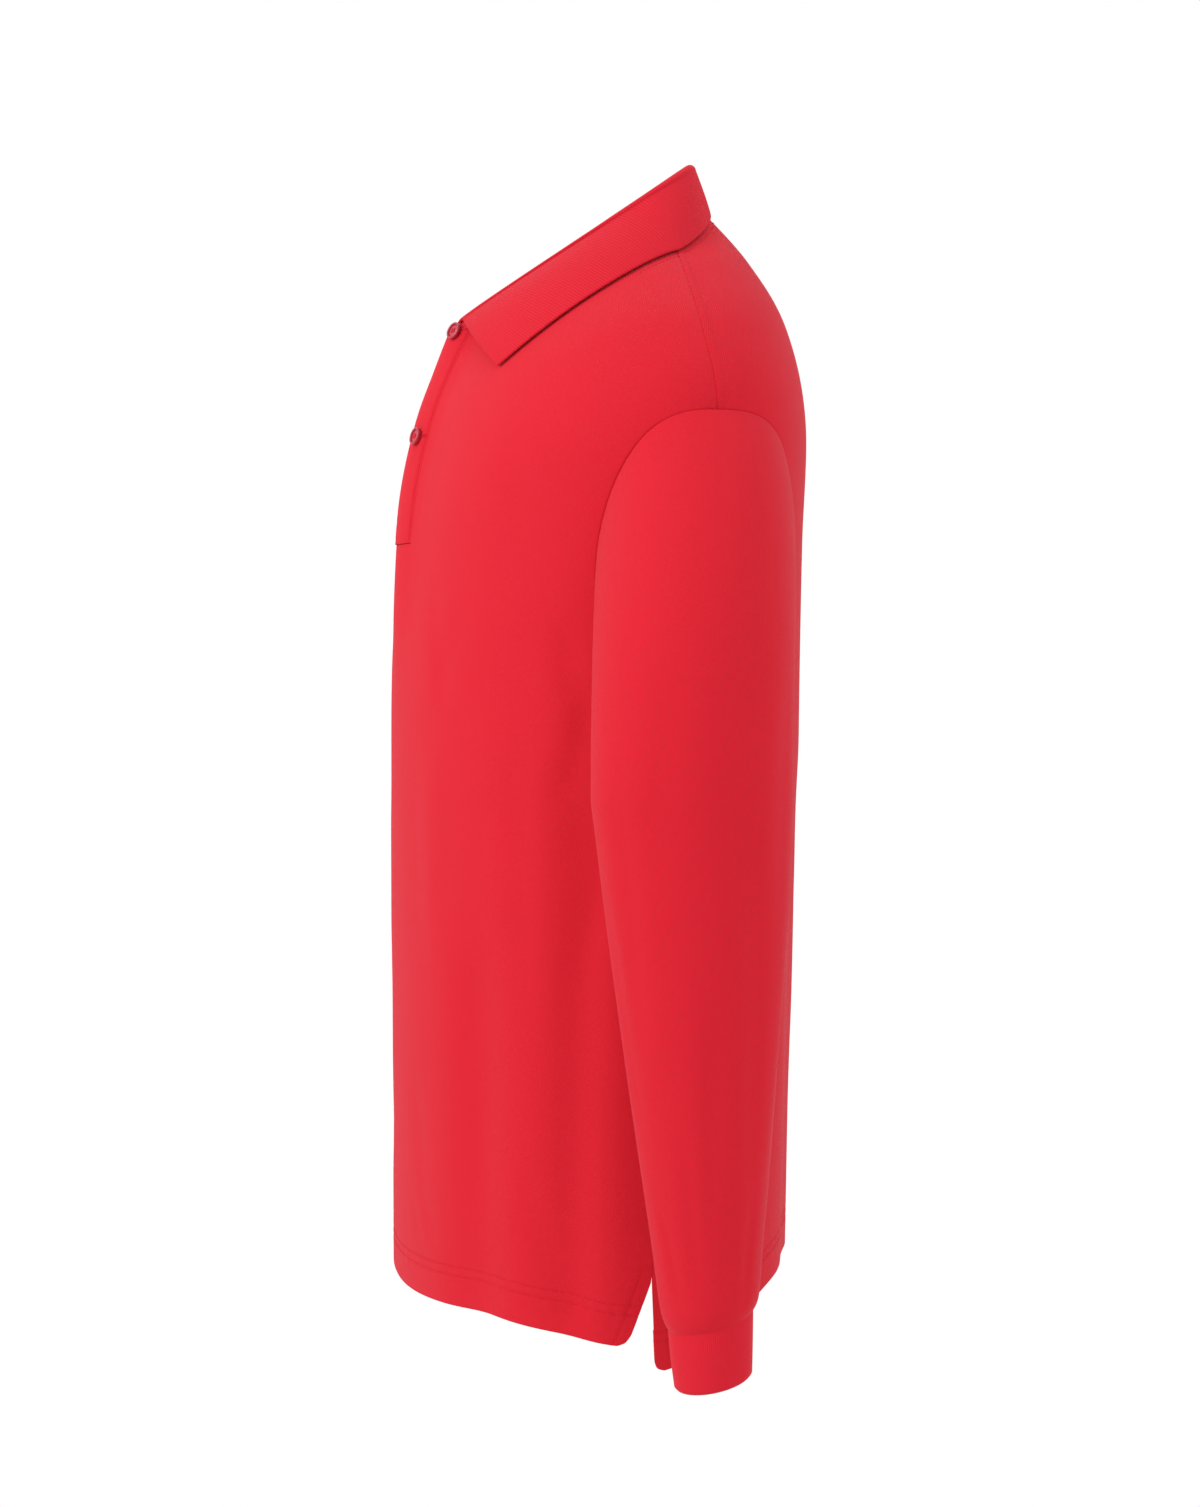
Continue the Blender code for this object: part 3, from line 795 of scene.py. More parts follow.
def make_finishes() -> Finishes:
    """Build every material of the shirt."""
    return Finishes(
        # each knit's and the thread's first colour is painted shade, the second painted light; the button's
        # two are its own clouding
        pique=KnitFinish(
            "pique_knit", Knit.PIQUE, (0.56, 0.008, 0.020), (0.86, 0.018, 0.038), 0.0013, 0.0011, 0.00020,
        ).material(),
        rib=KnitFinish(
            "flat_knit_rib", Knit.RIB, (0.54, 0.008, 0.020), (0.80, 0.018, 0.038), 0.0013, 0.0011, 0.00014,
        ).material(),
        cuff=KnitFinish(
            "cuff_rib", Knit.RIB, (0.62, 0.010, 0.024), (0.78, 0.018, 0.038), 0.0013, 0.0009, 0.00007,
        ).material(),
        thread=ThreadFinish("sewing_thread", (0.60, 0.010, 0.023), (0.86, 0.017, 0.038)).material(),
        button=ButtonFinish("dyed_button", (0.42, 0.020, 0.040), (0.58, 0.040, 0.070)).material(),
    )


# ---- stitches ----
@dataclass
class Stitching:
    """Rows of sewing stitches on the body, made as one mesh for each name."""

    form: BodyForm
    material: bpy.types.Material
    length: float = 0.0026
    pitch: float = 0.0033
    width: float = 0.00044
    flatness: float = 0.8
    rise: float = 0.000102  # of a stitch's middle over the path

    def __post_init__(self) -> None:
        """Start with no stitches."""
        self.places: dict[str, list[Array]] = {}

    def sew(
        self, name: str, angle: Array, level: Array, height: Array | float, size: float = 1.0
    ) -> None:
        """Sew one row.

        Args:
            name: the mesh that the stitches go into.
            angle: angles of the row's places on the body.
            level: their levels.
            height: their heights over the body's form.
            size: size of the stitches, 1 for the usual one.
        """
        path, outward = self.form.point(angle, level, height), self.form.outward(angle, level)
        run = travelled(path)
        count = max(1, int(run[-1] / self.pitch))
        middles = (np.arange(count) + 0.5) * run[-1] / count
        at = self.along(path, run, middles)
        ahead = unit(
            self.along(path, run, middles + self.pitch / 4) - self.along(path, run, middles - self.pitch / 4)
        )
        up = unit(self.along(outward, run, middles))
        aside = unit(np.cross(up, ahead))
        up = np.cross(ahead, aside)
        centre = at + up * self.rise
        frames = np.stack((ahead * size, aside * size, up * size, centre), axis=1)
        self.places.setdefault(name, []).append(frames)

    @staticmethod
    def along(values: Array, run: Array, where: Array) -> Array:
        """Values at distances along a path."""
        return np.stack([np.interp(where, run, values[:, axis]) for axis in range(3)], axis=-1)

    def bead(self) -> tuple[Array, Array]:
        """Points and quads of one stitch, lying along x."""
        shape = bmesh.new()
        bmesh.ops.create_cube(shape, size=1.0)
        bmesh.ops.subdivide_edges(shape, edges=shape.edges, cuts=1, use_grid_fill=True)
        for vert in shape.verts:
            vert.co = vert.co.normalized() / 2
        bmesh.ops.scale(shape, vec=(self.length, self.width, self.width * self.flatness), verts=shape.verts)
        points = np.array([vert.co[:] for vert in shape.verts])
        quads = np.array([[vert.index for vert in face.verts] for face in shape.faces])
        shape.free()
        return points, quads

    def make(self) -> list[bpy.types.Object]:
        """Build one mesh for each name.

        Returns:
            The meshes' objects.
        """
        points, quads = self.bead()
        pieces = []
        for name, rows in self.places.items():
            frames = np.concatenate(rows)
            placed = np.einsum("pa,sac->spc", points, frames[:, :3]) + frames[:, None, 3]
            faces = quads[None] + (np.arange(len(frames)) * len(points))[:, None, None]
            mesh = bpy.data.meshes.new(name)
            mesh.from_pydata(placed.reshape(-1, 3), [], faces.reshape(-1, 4).tolist())
            mesh.shade_smooth()
            mesh.materials.append(self.material)
            piece = bpy.data.objects.new(name, mesh)
            bpy.context.scene.collection.objects.link(piece)
            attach(piece, "root")
            log.info("%s: %d stitches", name, len(frames))
            pieces.append(piece)
        return pieces


# ---- front and back panels ----
class PanelGrain:
    """Distances over a body panel along its grain, which runs straight up over the chest and the back."""

    turn_steps: int = 90
    level_steps: int = 160
    across_level: float = 3.5

    def __init__(self, form: BodyForm, front: bool) -> None:
        """Measure the cloth up to the shoulder tips.

        Args:
            form: the body's form.
            front: the front panel, or else the back one.
        """
        self.form, self.front = form, front
        turn, level = np.meshgrid(
            np.linspace(0.0, pi / 2, self.turn_steps + 1),
            np.linspace(0.0, form.shoulder_tip, self.level_steps + 1),
            indexing="ij",
        )
        self.up = travelled(self.place(turn, level), axis=1)
        self.across = travelled(self.place(turn[:, 0], np.full(len(turn), self.across_level)))

    def place(self, turn: Array, level: Array) -> Array:
        """Point at a turn from the panel's centre."""
        return self.form.ring_point(turn if self.front else pi - turn, level)

    def at(self, angle: Array, level: Array) -> Array:
        """Distances across and up the cloth.

        Args:
            angle: angles from the panel's centre.
            level: levels on the body.

        Returns:
            The two distances of each place.
        """
        low = np.clip(level, 0.0, self.form.shoulder_tip)
        share = np.abs(np.sin(angle)) * self.form.ring(level).side_x / self.form.ring(low).side_x
        turn = np.arcsin(np.clip(share, 0.0, 1.0))
        column = turn / (pi / 2) * self.turn_steps
        row = low / self.form.shoulder_tip * self.level_steps
        i = np.minimum(column.astype(int), self.turn_steps - 1)
        j = np.minimum(row.astype(int), self.level_steps - 1)
        below = mix(self.up[i, j], self.up[i + 1, j], column - i)
        above = mix(self.up[i, j + 1], self.up[i + 1, j + 1], column - i)
        up = mix(below, above, row - j)
        beyond = self.place(np.abs(angle), level) - self.place(turn, low)
        up = up + np.where(level > low, np.linalg.norm(beyond, axis=-1), 0.0)
        across = np.interp(column, np.arange(self.turn_steps + 1), self.across)
        return np.stack((np.sign(angle) * across, up), axis=-1)


@dataclass
class BodyPanels:
    """Front and back panels with turned-up hems, side vents and the slot for the placket."""

    form: BodyForm
    finishes: Finishes
    stitching: Stitching
    wall: float = 0.0009
    hem_depth: float = 0.0265
    hem_bend: float = 0.0011  # radius of the fold
    hem_rows: Row = (  # heights of the band's rows over the fold
        0.0005, 0.0015, 0.003, 0.0055, 0.008, 0.011, 0.014, 0.0165, 0.0178, 0.0185, 0.019, 0.0195, 0.0202,
        0.0218, 0.0238, 0.0245, 0.025, 0.0255, 0.0262, 0.0275,
    )
    hem_stitch_heights: tuple[float, float] = (0.019, 0.025)
    stitch_groove: float = 0.00035
    groove_width: float = 0.0009
    pucker: float = 0.00022  # half height of the hem's ripples
    pucker_length: float = 0.0125
    pucker_height: float = 0.019  # of the strongest pucker over the hem
    pucker_reach: float = 0.014
    corner_radius: float = 0.0075
    corner_softness: float = 0.36  # 0 for a square corner
    vent_border: float = 0.0085
    vent_fade: float = 0.012  # over which an open edge becomes a sewn one above the vent
    placket_half_width: float = 0.0175
    placket_end_turn: float = radians(120)
    border_steps: Row = (0.005, 0.0068, 0.0078, 0.0085, 0.0092, 0.0102, 0.013)
    side_rows: int = 96
    armhole_rows: int = 72
    shoulder_rows: int = 42
    centre_dip: float = 0.060  # how far the rows that end at the underarm dip to the panel's centre
    slot_share: float = 0.72  # of the armhole's rows that lie below the placket
    slot_columns: Row = (0.0, 0.28, 0.52, 0.74, 0.9, 1.0)  # as shares of the slot's half width
    tip_level: float = 5.45  # level at the panel's centre of the row that ends at the shoulder tip
    turn_rows: int = 8  # rows over which their directions are evened
    row_lead: float = 0.35  # how long a row keeps the direction in which it leaves the seam
    row_turn: float = 0.3  # share of the side over which the rows turn to leave the seam squarely
    seam_narrowing: float = 0.85  # how much closer the border's columns are above the vent
    middle_reach: float = 0.2  # rough distance from the side edge to the middle
    evenings: int = 120  # rounds of even_out
    front_columns: int = 50
    back_columns: int = 56
    seam_turn_in: float = 0.00015
    armhole_turn_in: float = 0.00045
    shoulder_ridge: float = 0.00040  # the back's cloth over the seam's turnings
    ridge_width: float = 0.0062
    ridge_slope: float = 0.002
    tape_corner: float = 0.003
    row_ends: float = 0.012  # how far from the side seams a row of hem stitches ends
    front_flat: tuple[float, float] = (0.61, 0.81)
    back_flat: tuple[float, float] = (0.58, 0.81)

    def rows(self, front: bool) -> SimpleNamespace:
        """Rows of a panel from the turned-up hem's inner edge to the neckline.

        Args:
            front: the front panel, or else the back one.

        Returns:
            For each row its height over the hem's fold, its bend round the fold, the shares of the side and
            of the shoulder that lie below it, and its turn round the armhole.
        """
        inside = np.array(self.hem_rows[::-1]) * self.hem_depth / self.hem_rows[-1]
        bend = np.array((0.25, 0.5, 0.75)) * pi
        outside = np.concatenate(((0.0,), self.hem_rows))
        above = self.side_rows + self.armhole_rows + self.shoulder_rows
        hem_top = len(inside) + len(bend) + len(outside)
        index = np.arange(hem_top + 1 + above)
        underarm = hem_top + self.side_rows
        tip = underarm + self.armhole_rows
        turns = self.armhole_turns(front)
        return SimpleNamespace(
            height=np.concatenate((inside, (0.0,), np.zeros(len(bend)), outside, np.zeros(above))),
            bend=np.concatenate(
                (np.full(len(inside) + 1, pi), bend[::-1], np.zeros(len(outside) + above))
            ),
            side=np.clip((index - hem_top) / self.side_rows, 0, 1),
            turn=np.interp(index, underarm + np.arange(len(turns)), turns),
            shoulder=np.clip((index - tip) / self.shoulder_rows, 0, 1),
            hem=index <= hem_top,
            index=index,
            hem_top=hem_top,
            underarm=underarm,
            tip=tip,
        )

    def armhole_turns(self, front: bool) -> Array:
        """Turns at even distances along the armhole's front or back half."""
        form = self.form
        turn = np.linspace(0.0, pi, 1501)
        reach = form.armhole_front if front else form.armhole_back
        angle = pi / 2 - reach * np.sin(turn) ** form.armhole_fullness
        run = travelled(form.ring_point(self.real(angle, front), form.armhole_level(turn)))
        return np.interp(np.linspace(0.0, run[-1], self.armhole_rows + 1), run, turn)

    def hem_level(self, rows: SimpleNamespace, angle: Array, front: bool) -> Array:
        """Level of each row at an angle, as if all rows below the underarm followed the hem."""
        form = self.form
        hem_z = form.hem_height(angle, front)
        spread = (slice(None),) + (None,) * (angle.ndim - 1)
        height, side, in_hem = (values[spread] for values in (rows.height, rows.side, rows.hem))
        above = mix(hem_z + self.hem_rows[-1], form.ring(form.underarm).side_z, side)
        return form.level_at(np.where(in_hem, hem_z + height, above))

    def edge_line(self, rows: SimpleNamespace, front: bool) -> tuple[Array, Array]:
        """Side edge of half a panel.

        Args:
            rows: the panel's rows.
            front: the front panel, or else the back one.

        Returns:
            The edge's angle from the panel's centre and its level, for each row.
        """
        form = self.form
        reach, vent_open = (
            (form.armhole_front, form.vent_front_open) if front else (form.armhole_back, form.vent_back_open)
        )
        angle = np.full(len(rows.index), pi / 2)
        shoulder = mix(form.shoulder_tip, form.neck, rows.shoulder)
        above = np.where(rows.shoulder > 0, shoulder, form.armhole_level(rows.turn))
        for _ in range(3):
            level = np.where(rows.turn > 0, above, self.hem_level(rows, self.real(angle, front), front))
            ring = form.ring(level)
            depth = ring.side_y - ring.front_y
            hem_z = form.hem_height(angle, front)
            low = np.clip((form.vent_top_z - ring.side_z) / (form.vent_top_z - hem_z), 0.0, 1.0)
            angle = pi / 2 - form.seam_ease * form.seam_gap / depth - vent_open / depth * low
            angle = angle - reach * np.sin(rows.turn) ** form.armhole_fullness
        return angle, level

    @staticmethod
    def real(angle: Array, front: bool) -> Array:
        """Angle round the body for one counted from the panel's own centre to its side."""
        return angle if front else pi - angle

    def centre_level(self, rows: SimpleNamespace, front: bool) -> Array:
        """Centre line of a panel.

        Args:
            rows: the panel's rows.
            front: the front panel, or else the back one.

        Returns:
            Its level for each row.
        """
        form = self.form
        band_top = form.hem_height(self.real(np.array(0.0), front), front) + self.hem_rows[-1]
        dip_z = form.ring(form.underarm).side_z - self.centre_dip
        low = form.level_at(mix(band_top, dip_z, rows.side))
        pins = (
            (rows.underarm, float(form.level_at(dip_z))),
            (self.slot_row(rows), float(form.armhole_level(self.placket_end_turn))),
            (rows.tip, self.tip_level),
            (rows.index[-1], form.neck),
        )
        high = np.interp(rows.index, *zip(*pins))
        return np.where(rows.index > rows.underarm, high, low)

    def slot_row(self, rows: SimpleNamespace) -> int:
        """Row at the lower end of the placket's slot."""
        return rows.underarm + round(self.armhole_rows * self.slot_share)

    def inward(self, rows: SimpleNamespace, edge: Array, across: Array, up: Array) -> tuple[Array, Array]:
        """Directions in which the rows leave the side edge, turned evenly past the armhole's corners.

        Args:
            rows: the panel's rows.
            edge: the edge's angle and level for each row.
            across: metres to a radian there.
            up: metres to a level there.

        Returns:
            The directions, across and up, and their cosine with the edge's own normal.
        """
        run = np.gradient(edge, axis=0) * np.stack((across, up), axis=-1)
        level = np.array((-1.0, 0.0))
        normal = unit(np.stack((-run[:, 1], run[:, 0]), axis=-1))
        ends = smooth_step(rows.side / self.row_turn)
        ends = ends * smooth_step((rows.index[-1] - rows.index) / self.turn_rows)
        normal = unit(mix(level, normal, ends[:, None]))
        even = np.stack([self.evened(normal[:, axis]) for axis in (0, 1)], axis=-1)
        even = unit(mix(level, even, ends[:, None]))
        facing = np.clip((even * normal).sum(axis=1), 0.5, 1.0)
        facing = np.minimum(np.minimum(facing, np.roll(facing, 1)), np.roll(facing, -1))
        return even, self.evened(facing)

    def evened(self, values: Array) -> Array:
        """Values of the rows, each averaged with its neighbours'."""
        reach = 3 * self.turn_rows
        kernel = np.exp(-((np.arange(-reach, reach + 1) / self.turn_rows) ** 2) / 2)
        return np.convolve(np.pad(values, reach, mode="edge"), kernel / kernel.sum(), "valid")

    def half_grid(self, rows: SimpleNamespace, front: bool) -> tuple[Array, Array, Array, Array]:
        """Columns of half a panel, from the centre to the side edge.

        Args:
            rows: the panel's rows.
            front: the front panel, or else the back one.

        Returns:
            Angles from the panel's centre and levels, by row and column, their distances from the side
            edge, and the slot's half angle for each row.
        """
        form = self.form
        edge, edge_level = self.edge_line(rows, front)
        across = form.metres_per_radian(self.real(edge, front), edge_level)
        up = form.metres_per_level(self.real(edge, front), edge_level)
        lead, facing = self.inward(rows, np.stack((edge, edge_level), axis=-1), across, up)
        near = np.concatenate((RIM_STEPS, self.border_steps))[::-1]
        narrowed = 1 - self.seam_narrowing * smooth_step(rows.side / self.row_turn)
        near = np.where(near > RIM_STEPS[-1], mix(RIM_STEPS[-1], near, narrowed[:, None]), near)
        step = near / facing[:, None]
        outer = edge[:, None] + lead[:, :1] * step / across[:, None]
        outer_level = edge_level[:, None] + lead[:, 1:] * step / up[:, None]
        level = self.centre_level(rows, front)
        if front:
            slot = form.placket_half_angle(level, self.placket_half_width)
            beside = RIM_STEPS[1:] / form.metres_per_radian(slot, level)[:, None]
            within = slot[:, None] * np.array(self.slot_columns)
            inner = np.concatenate((within, slot[:, None] + beside), axis=1)
            count = self.front_columns
        else:
            slot, inner, count = 0 * level, np.zeros((len(level), 1)), self.back_columns
        share = np.arange(1, count) / count
        h_in, h_out = share - 2 * share**2 + share**3, share**3 - share**2
        h = 3 * share**2 - 2 * share**3
        chord = outer[:, :1] - inner[:, -1:]
        middle = inner[:, -1:] + chord * (h + h_in - lead[:, :1] * self.row_lead * h_out)
        rise = outer_level[:, :1] - level[:, None]
        metres = chord * (across / up)[:, None]
        middle_level = level[:, None] + rise * h - lead[:, 1:] * metres * self.row_lead * h_out
        angles = np.concatenate((inner, middle, outer), axis=1)
        levels = np.concatenate((level[:, None] + 0 * inner, middle_level, outer_level), axis=1)
        follows_hem = self.hem_level(rows, self.real(angles, front), front)
        top = rows.hem_top
        shift = (follows_hem[top] - levels[top]) * (1 - rows.side[:, None])
        levels = np.where(rows.hem[:, None], follows_hem, levels + shift)
        self.even_out(rows, angles, levels, inner.shape[1], angles.shape[1] - near.shape[1])
        inside = near[:, :1] + (1 - share) * self.middle_reach
        side = np.concatenate((np.full(inner.shape, 1.5 * self.middle_reach), inside, near), axis=1)
        return angles, levels, side, slot

    def even_out(self, rows: SimpleNamespace, angles: Array, levels: Array, first: int, last: int) -> None:
        """Spread the points between the centre and the seam evenly, so that no rows crowd or cross.

        Args:
            rows: the panel's rows.
            angles: angles by row and column, changed in place.
            levels: levels by row and column, changed in place.
            first: the first column that may move.
            last: the first column past those.
        """
        for grid in (angles, levels):
            part = grid[rows.hem_top:, first - 1:last + 1]
            for _ in range(self.evenings):
                part[1:-1, 1:-1] = (
                    part[2:, 1:-1] + part[:-2, 1:-1] + part[1:-1, 2:] + part[1:-1, :-2]
                ) / 4

    def rounded_corner(self, side: Array, height: Array) -> tuple[Array, Array]:
        """Round the corner between a vent's edge and the hem.

        Args:
            side: distance in from the vent's edge.
            height: distance up from the hem.

        Returns:
            The two distances, moved so that the square corner becomes a blunt one.
        """
        radius, softness = self.corner_radius, self.corner_softness
        right = np.clip(1 - side / radius, 0, 1)
        down = np.clip(1 - height / radius, 0, 1)
        both = (right > 0) & (down > 0)
        new_side = np.where(both, radius * (1 - right * np.sqrt(1 - softness * down**2)), side)
        new_height = np.where(both, radius * (1 - down * np.sqrt(1 - softness * right**2)), height)
        return new_side, new_height

    def lay(self, front: bool) -> tuple[Laid, Array | None]:
        """Lay out a panel.

        Args:
            front: the front panel, or else the back one.

        Returns:
            The laid-out grid, and the faces cut from it for the placket.
        """
        form = self.form
        rows = self.rows(front)
        half, half_level, side, slot = self.half_grid(rows, front)
        angle = np.concatenate((-half[:, :0:-1], half), axis=1)
        side = np.concatenate((side[:, :0:-1], side), axis=1)
        level = np.concatenate((half_level[:, :0:-1], half_level), axis=1)
        facing = np.sign(angle)
        from_centre = angle
        if not front:
            angle = pi + angle
        height = form.ring_point(angle, level)[..., 2] - form.hem_height(angle, front)
        new_side, new_height = self.rounded_corner(side, height)
        radius = form.metres_per_radian(angle, level)
        corner = (side < self.corner_radius) & (height < self.corner_radius)
        angle = np.where(corner, angle - facing * (new_side - side) / radius, angle)
        corner_z = form.hem_height(angle, front) + new_height
        level = np.where(corner, form.level_at(corner_z), level)
        height = np.where(corner, new_height, height)

        groove = self.grooves(side, height, rows, angle, front)
        ripple = self.pucker * np.sin(2 * pi * angle * form.fold_radius / self.pucker_length)
        ripple = ripple * smooth_step(1 - np.abs(height - self.pucker_height) / self.pucker_reach)
        if not front:
            ridge = smooth_step((self.ridge_width - side) / self.ridge_slope)
            ripple = ripple + self.shoulder_ridge * smooth_step(rows.shoulder / 0.05)[:, None] * ridge
        points = form.point(angle, level, ripple - groove)
        outward = form.outward(angle, level)
        bend = rows.bend[:, None, None]
        points = points + outward * (self.hem_bend * (np.cos(bend) - 1))
        points[..., 2] -= self.hem_bend * np.sin(rows.bend)[:, None] * smooth_step(side / self.corner_radius)

        inner_edge = np.where(rows.bend > pi * 0.99, self.hem_depth - rows.height, 1.0)[:, None]
        to_neck = form.metres_per_level(angle, level) * (form.neck - level)
        sewn = smooth_step((form.ring_point(angle, level)[..., 2] - form.vent_top_z) / self.vent_fade)
        side_edge = side * mix(1, SEWN_SHARPNESS, sewn)
        edge = np.minimum(np.minimum(side_edge, inner_edge), to_neck * SEWN_SHARPNESS)
        at_armhole = smooth_step(rows.turn / 0.6) * (1 - smooth_step(rows.shoulder / 0.06))
        depth = mix(self.seam_turn_in, self.armhole_turn_in, at_armhole[:, None])
        turned_in = turning_in(side, depth * sewn)
        cut = None
        if front:
            cut, slot_edge = self.slot_cut(rows, angle, level, slot)
            edge = np.minimum(edge, slot_edge * SEWN_SHARPNESS)
            turned_in = np.maximum(turned_in, turning_in(slot_edge, self.seam_turn_in))
        cloth = PanelGrain(form, front).at(from_centre, level)
        return Laid(points, np.maximum(edge, 0.0), turned_in, cloth), cut

    def slot_cut(
        self, rows: SimpleNamespace, angle: Array, level: Array, slot: Array
    ) -> tuple[Array, Array]:
        """The placket's slot.

        Args:
            rows: the front panel's rows.
            angle: angles by row and column.
            level: levels by row and column.
            slot: the slot's half angle for each row.

        Returns:
            Which faces lie in the slot, and every point's distance from the slot's edge.
        """
        end_row = self.slot_row(rows)
        beside = (np.abs(angle) - slot[:, None]) * self.form.metres_per_radian(angle, level)
        beside = np.where(np.abs(beside) < 1e-7, 0.0, beside)
        rise = self.form.metres_per_level(angle, level) * (level - level[end_row, level.shape[1] // 2])
        inside = np.abs(angle) < slot[:, None] * 0.999
        cut = (inside[:-1, 1:] | inside[:-1, :-1]) & (rows.index[:-1, None] >= end_row)
        below = np.maximum(-rise, 0.0)
        distance = np.where(below > 0, np.hypot(np.maximum(beside, 0.0), below), np.abs(beside))
        return cut, distance

    def grooves(self, side: Array, height: Array, rows: SimpleNamespace, angle: Array, front: bool) -> Array:
        """How far the rows of stitches pull the cloth in.

        Args:
            side: distance from the side edge, by row and column.
            height: height over the hem.
            rows: the panel's rows.
            angle: angle round the body.
            front: the front panel, or else the back one.

        Returns:
            The depth at each point, in metres.
        """
        width = self.groove_width
        depth = np.zeros(side.shape)
        on_band = rows.hem[:, None]
        for line in self.hem_stitch_heights:
            depth = depth + on_band * np.exp(-(((height - line) / width) ** 2))
        vent_height = self.form.vent_top_z - self.form.hem_height(angle, front) + self.vent_border
        border = np.exp(-(((side - self.vent_border) / width) ** 2))
        depth = depth + border * smooth_step((vent_height - height) / 0.002)
        return np.clip(depth, 0.0, 1.0) * self.stitch_groove

    def place_at(self, side_angle: float, front: bool, side: Array, height: Array) -> tuple[Array, Array]:
        """Places beside a vent.

        Args:
            side_angle: positive for the wearer's left vent, negative for the right one.
            front: the front panel, or else the back one.
            side: distances from the vent's edge.
            height: heights over the hem.

        Returns:
            Their angles round the body and their levels.
        """
        rows = self.rows(front)
        edge, level = self.edge_line(rows, front)
        over_hem = self.form.ring(level).side_z - self.form.hem_height(self.real(edge, front), front)
        keep = slice(int(np.argmax(rows.bend < 0.01)), rows.underarm)
        outer = np.interp(height, over_hem[keep], edge[keep])
        radius = self.form.metres_per_radian(self.real(outer, front), np.full(np.shape(outer), 0.5))
        angle = self.real(outer - side / radius, front)
        z = self.form.hem_height(angle, front) + height
        return np.sign(side_angle) * angle, self.form.level_at(z)

    def sew_hems(self) -> None:
        """Two rows round each hem and the border of each vent."""
        form, sew = self.form, self.stitching.sew
        in_groove = -self.stitch_groove * 0.8
        corner = self.tape_corner
        for front, name in ((True, "stitches_front"), (False, "stitches_back")):
            rows = self.rows(front)
            last = self.edge_line(rows, front)[0][rows.hem_top - 10] - self.row_ends
            for height in self.hem_stitch_heights:
                turn = np.linspace(-last, last, 400)
                angle = turn if front else pi + turn
                sew(name, angle, form.level_at(form.hem_height(angle, front) + height), in_groove)
            rise = form.vent_top_z - float(form.hem_height(np.array(pi / 2), front))
            top = rise + self.vent_border
            up = np.linspace(0.002, top - corner, 40)
            bend = np.linspace(0.0, pi / 2, 8)[1:]
            across = np.linspace(self.vent_border - corner, 0.001, 6)[1:]
            side = np.concatenate((
                np.full(len(up), self.vent_border),
                self.vent_border - corner * (1 - np.cos(bend)),
                across,
            ))
            height = np.concatenate((up, top - corner + corner * np.sin(bend), np.full(len(across), top)))
            lying = np.where(height < rise, in_groove, 0.0)
            for which in (1.0, -1.0):
                sew(name, *self.place_at(which, front, side, height), lying)

    def sew_shoulders(self) -> None:
        """One row behind each shoulder seam."""
        level = np.linspace(self.form.shoulder_tip + 0.05, self.form.neck - 0.05, 80)
        away = self.ridge_width - 0.0012
        angle = pi / 2 + away / self.form.metres_per_radian(np.full(80, pi / 2), level)
        for which in (1.0, -1.0):
            self.stitching.sew("stitches_back", which * angle, level, self.shoulder_ridge / 2)

    def make(self) -> list[bpy.types.Object]:
        """Build both panels and sew them.

        Returns:
            The front and the back panel.
        """
        maker = ClothMaker(self.wall)
        pieces = []
        for name, front, flat in (("front", True, self.front_flat), ("back", False, self.back_flat)):
            laid, cut = self.lay(front)
            piece = maker.make(f"{name}_panel", laid, self.finishes.pique, cut=cut)
            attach(piece, "root")
            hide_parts(name)
            area = cloth_area(laid.points)
            min(area, flat[0] * flat[1])
            log.info("%s panel: %.3f square metres, %d faces", name, area, len(piece.data.polygons))
            pieces.append(piece)
        self.sew_hems()
        self.sew_shoulders()
        return pieces


def cloth_area(points: Array) -> float:
    """Area of a grid of points, in square metres."""
    first = points[1:, 1:] - points[:-1, :-1]
    second = points[1:, :-1] - points[:-1, 1:]
    return float(np.linalg.norm(np.cross(first, second), axis=-1).sum() / 2)


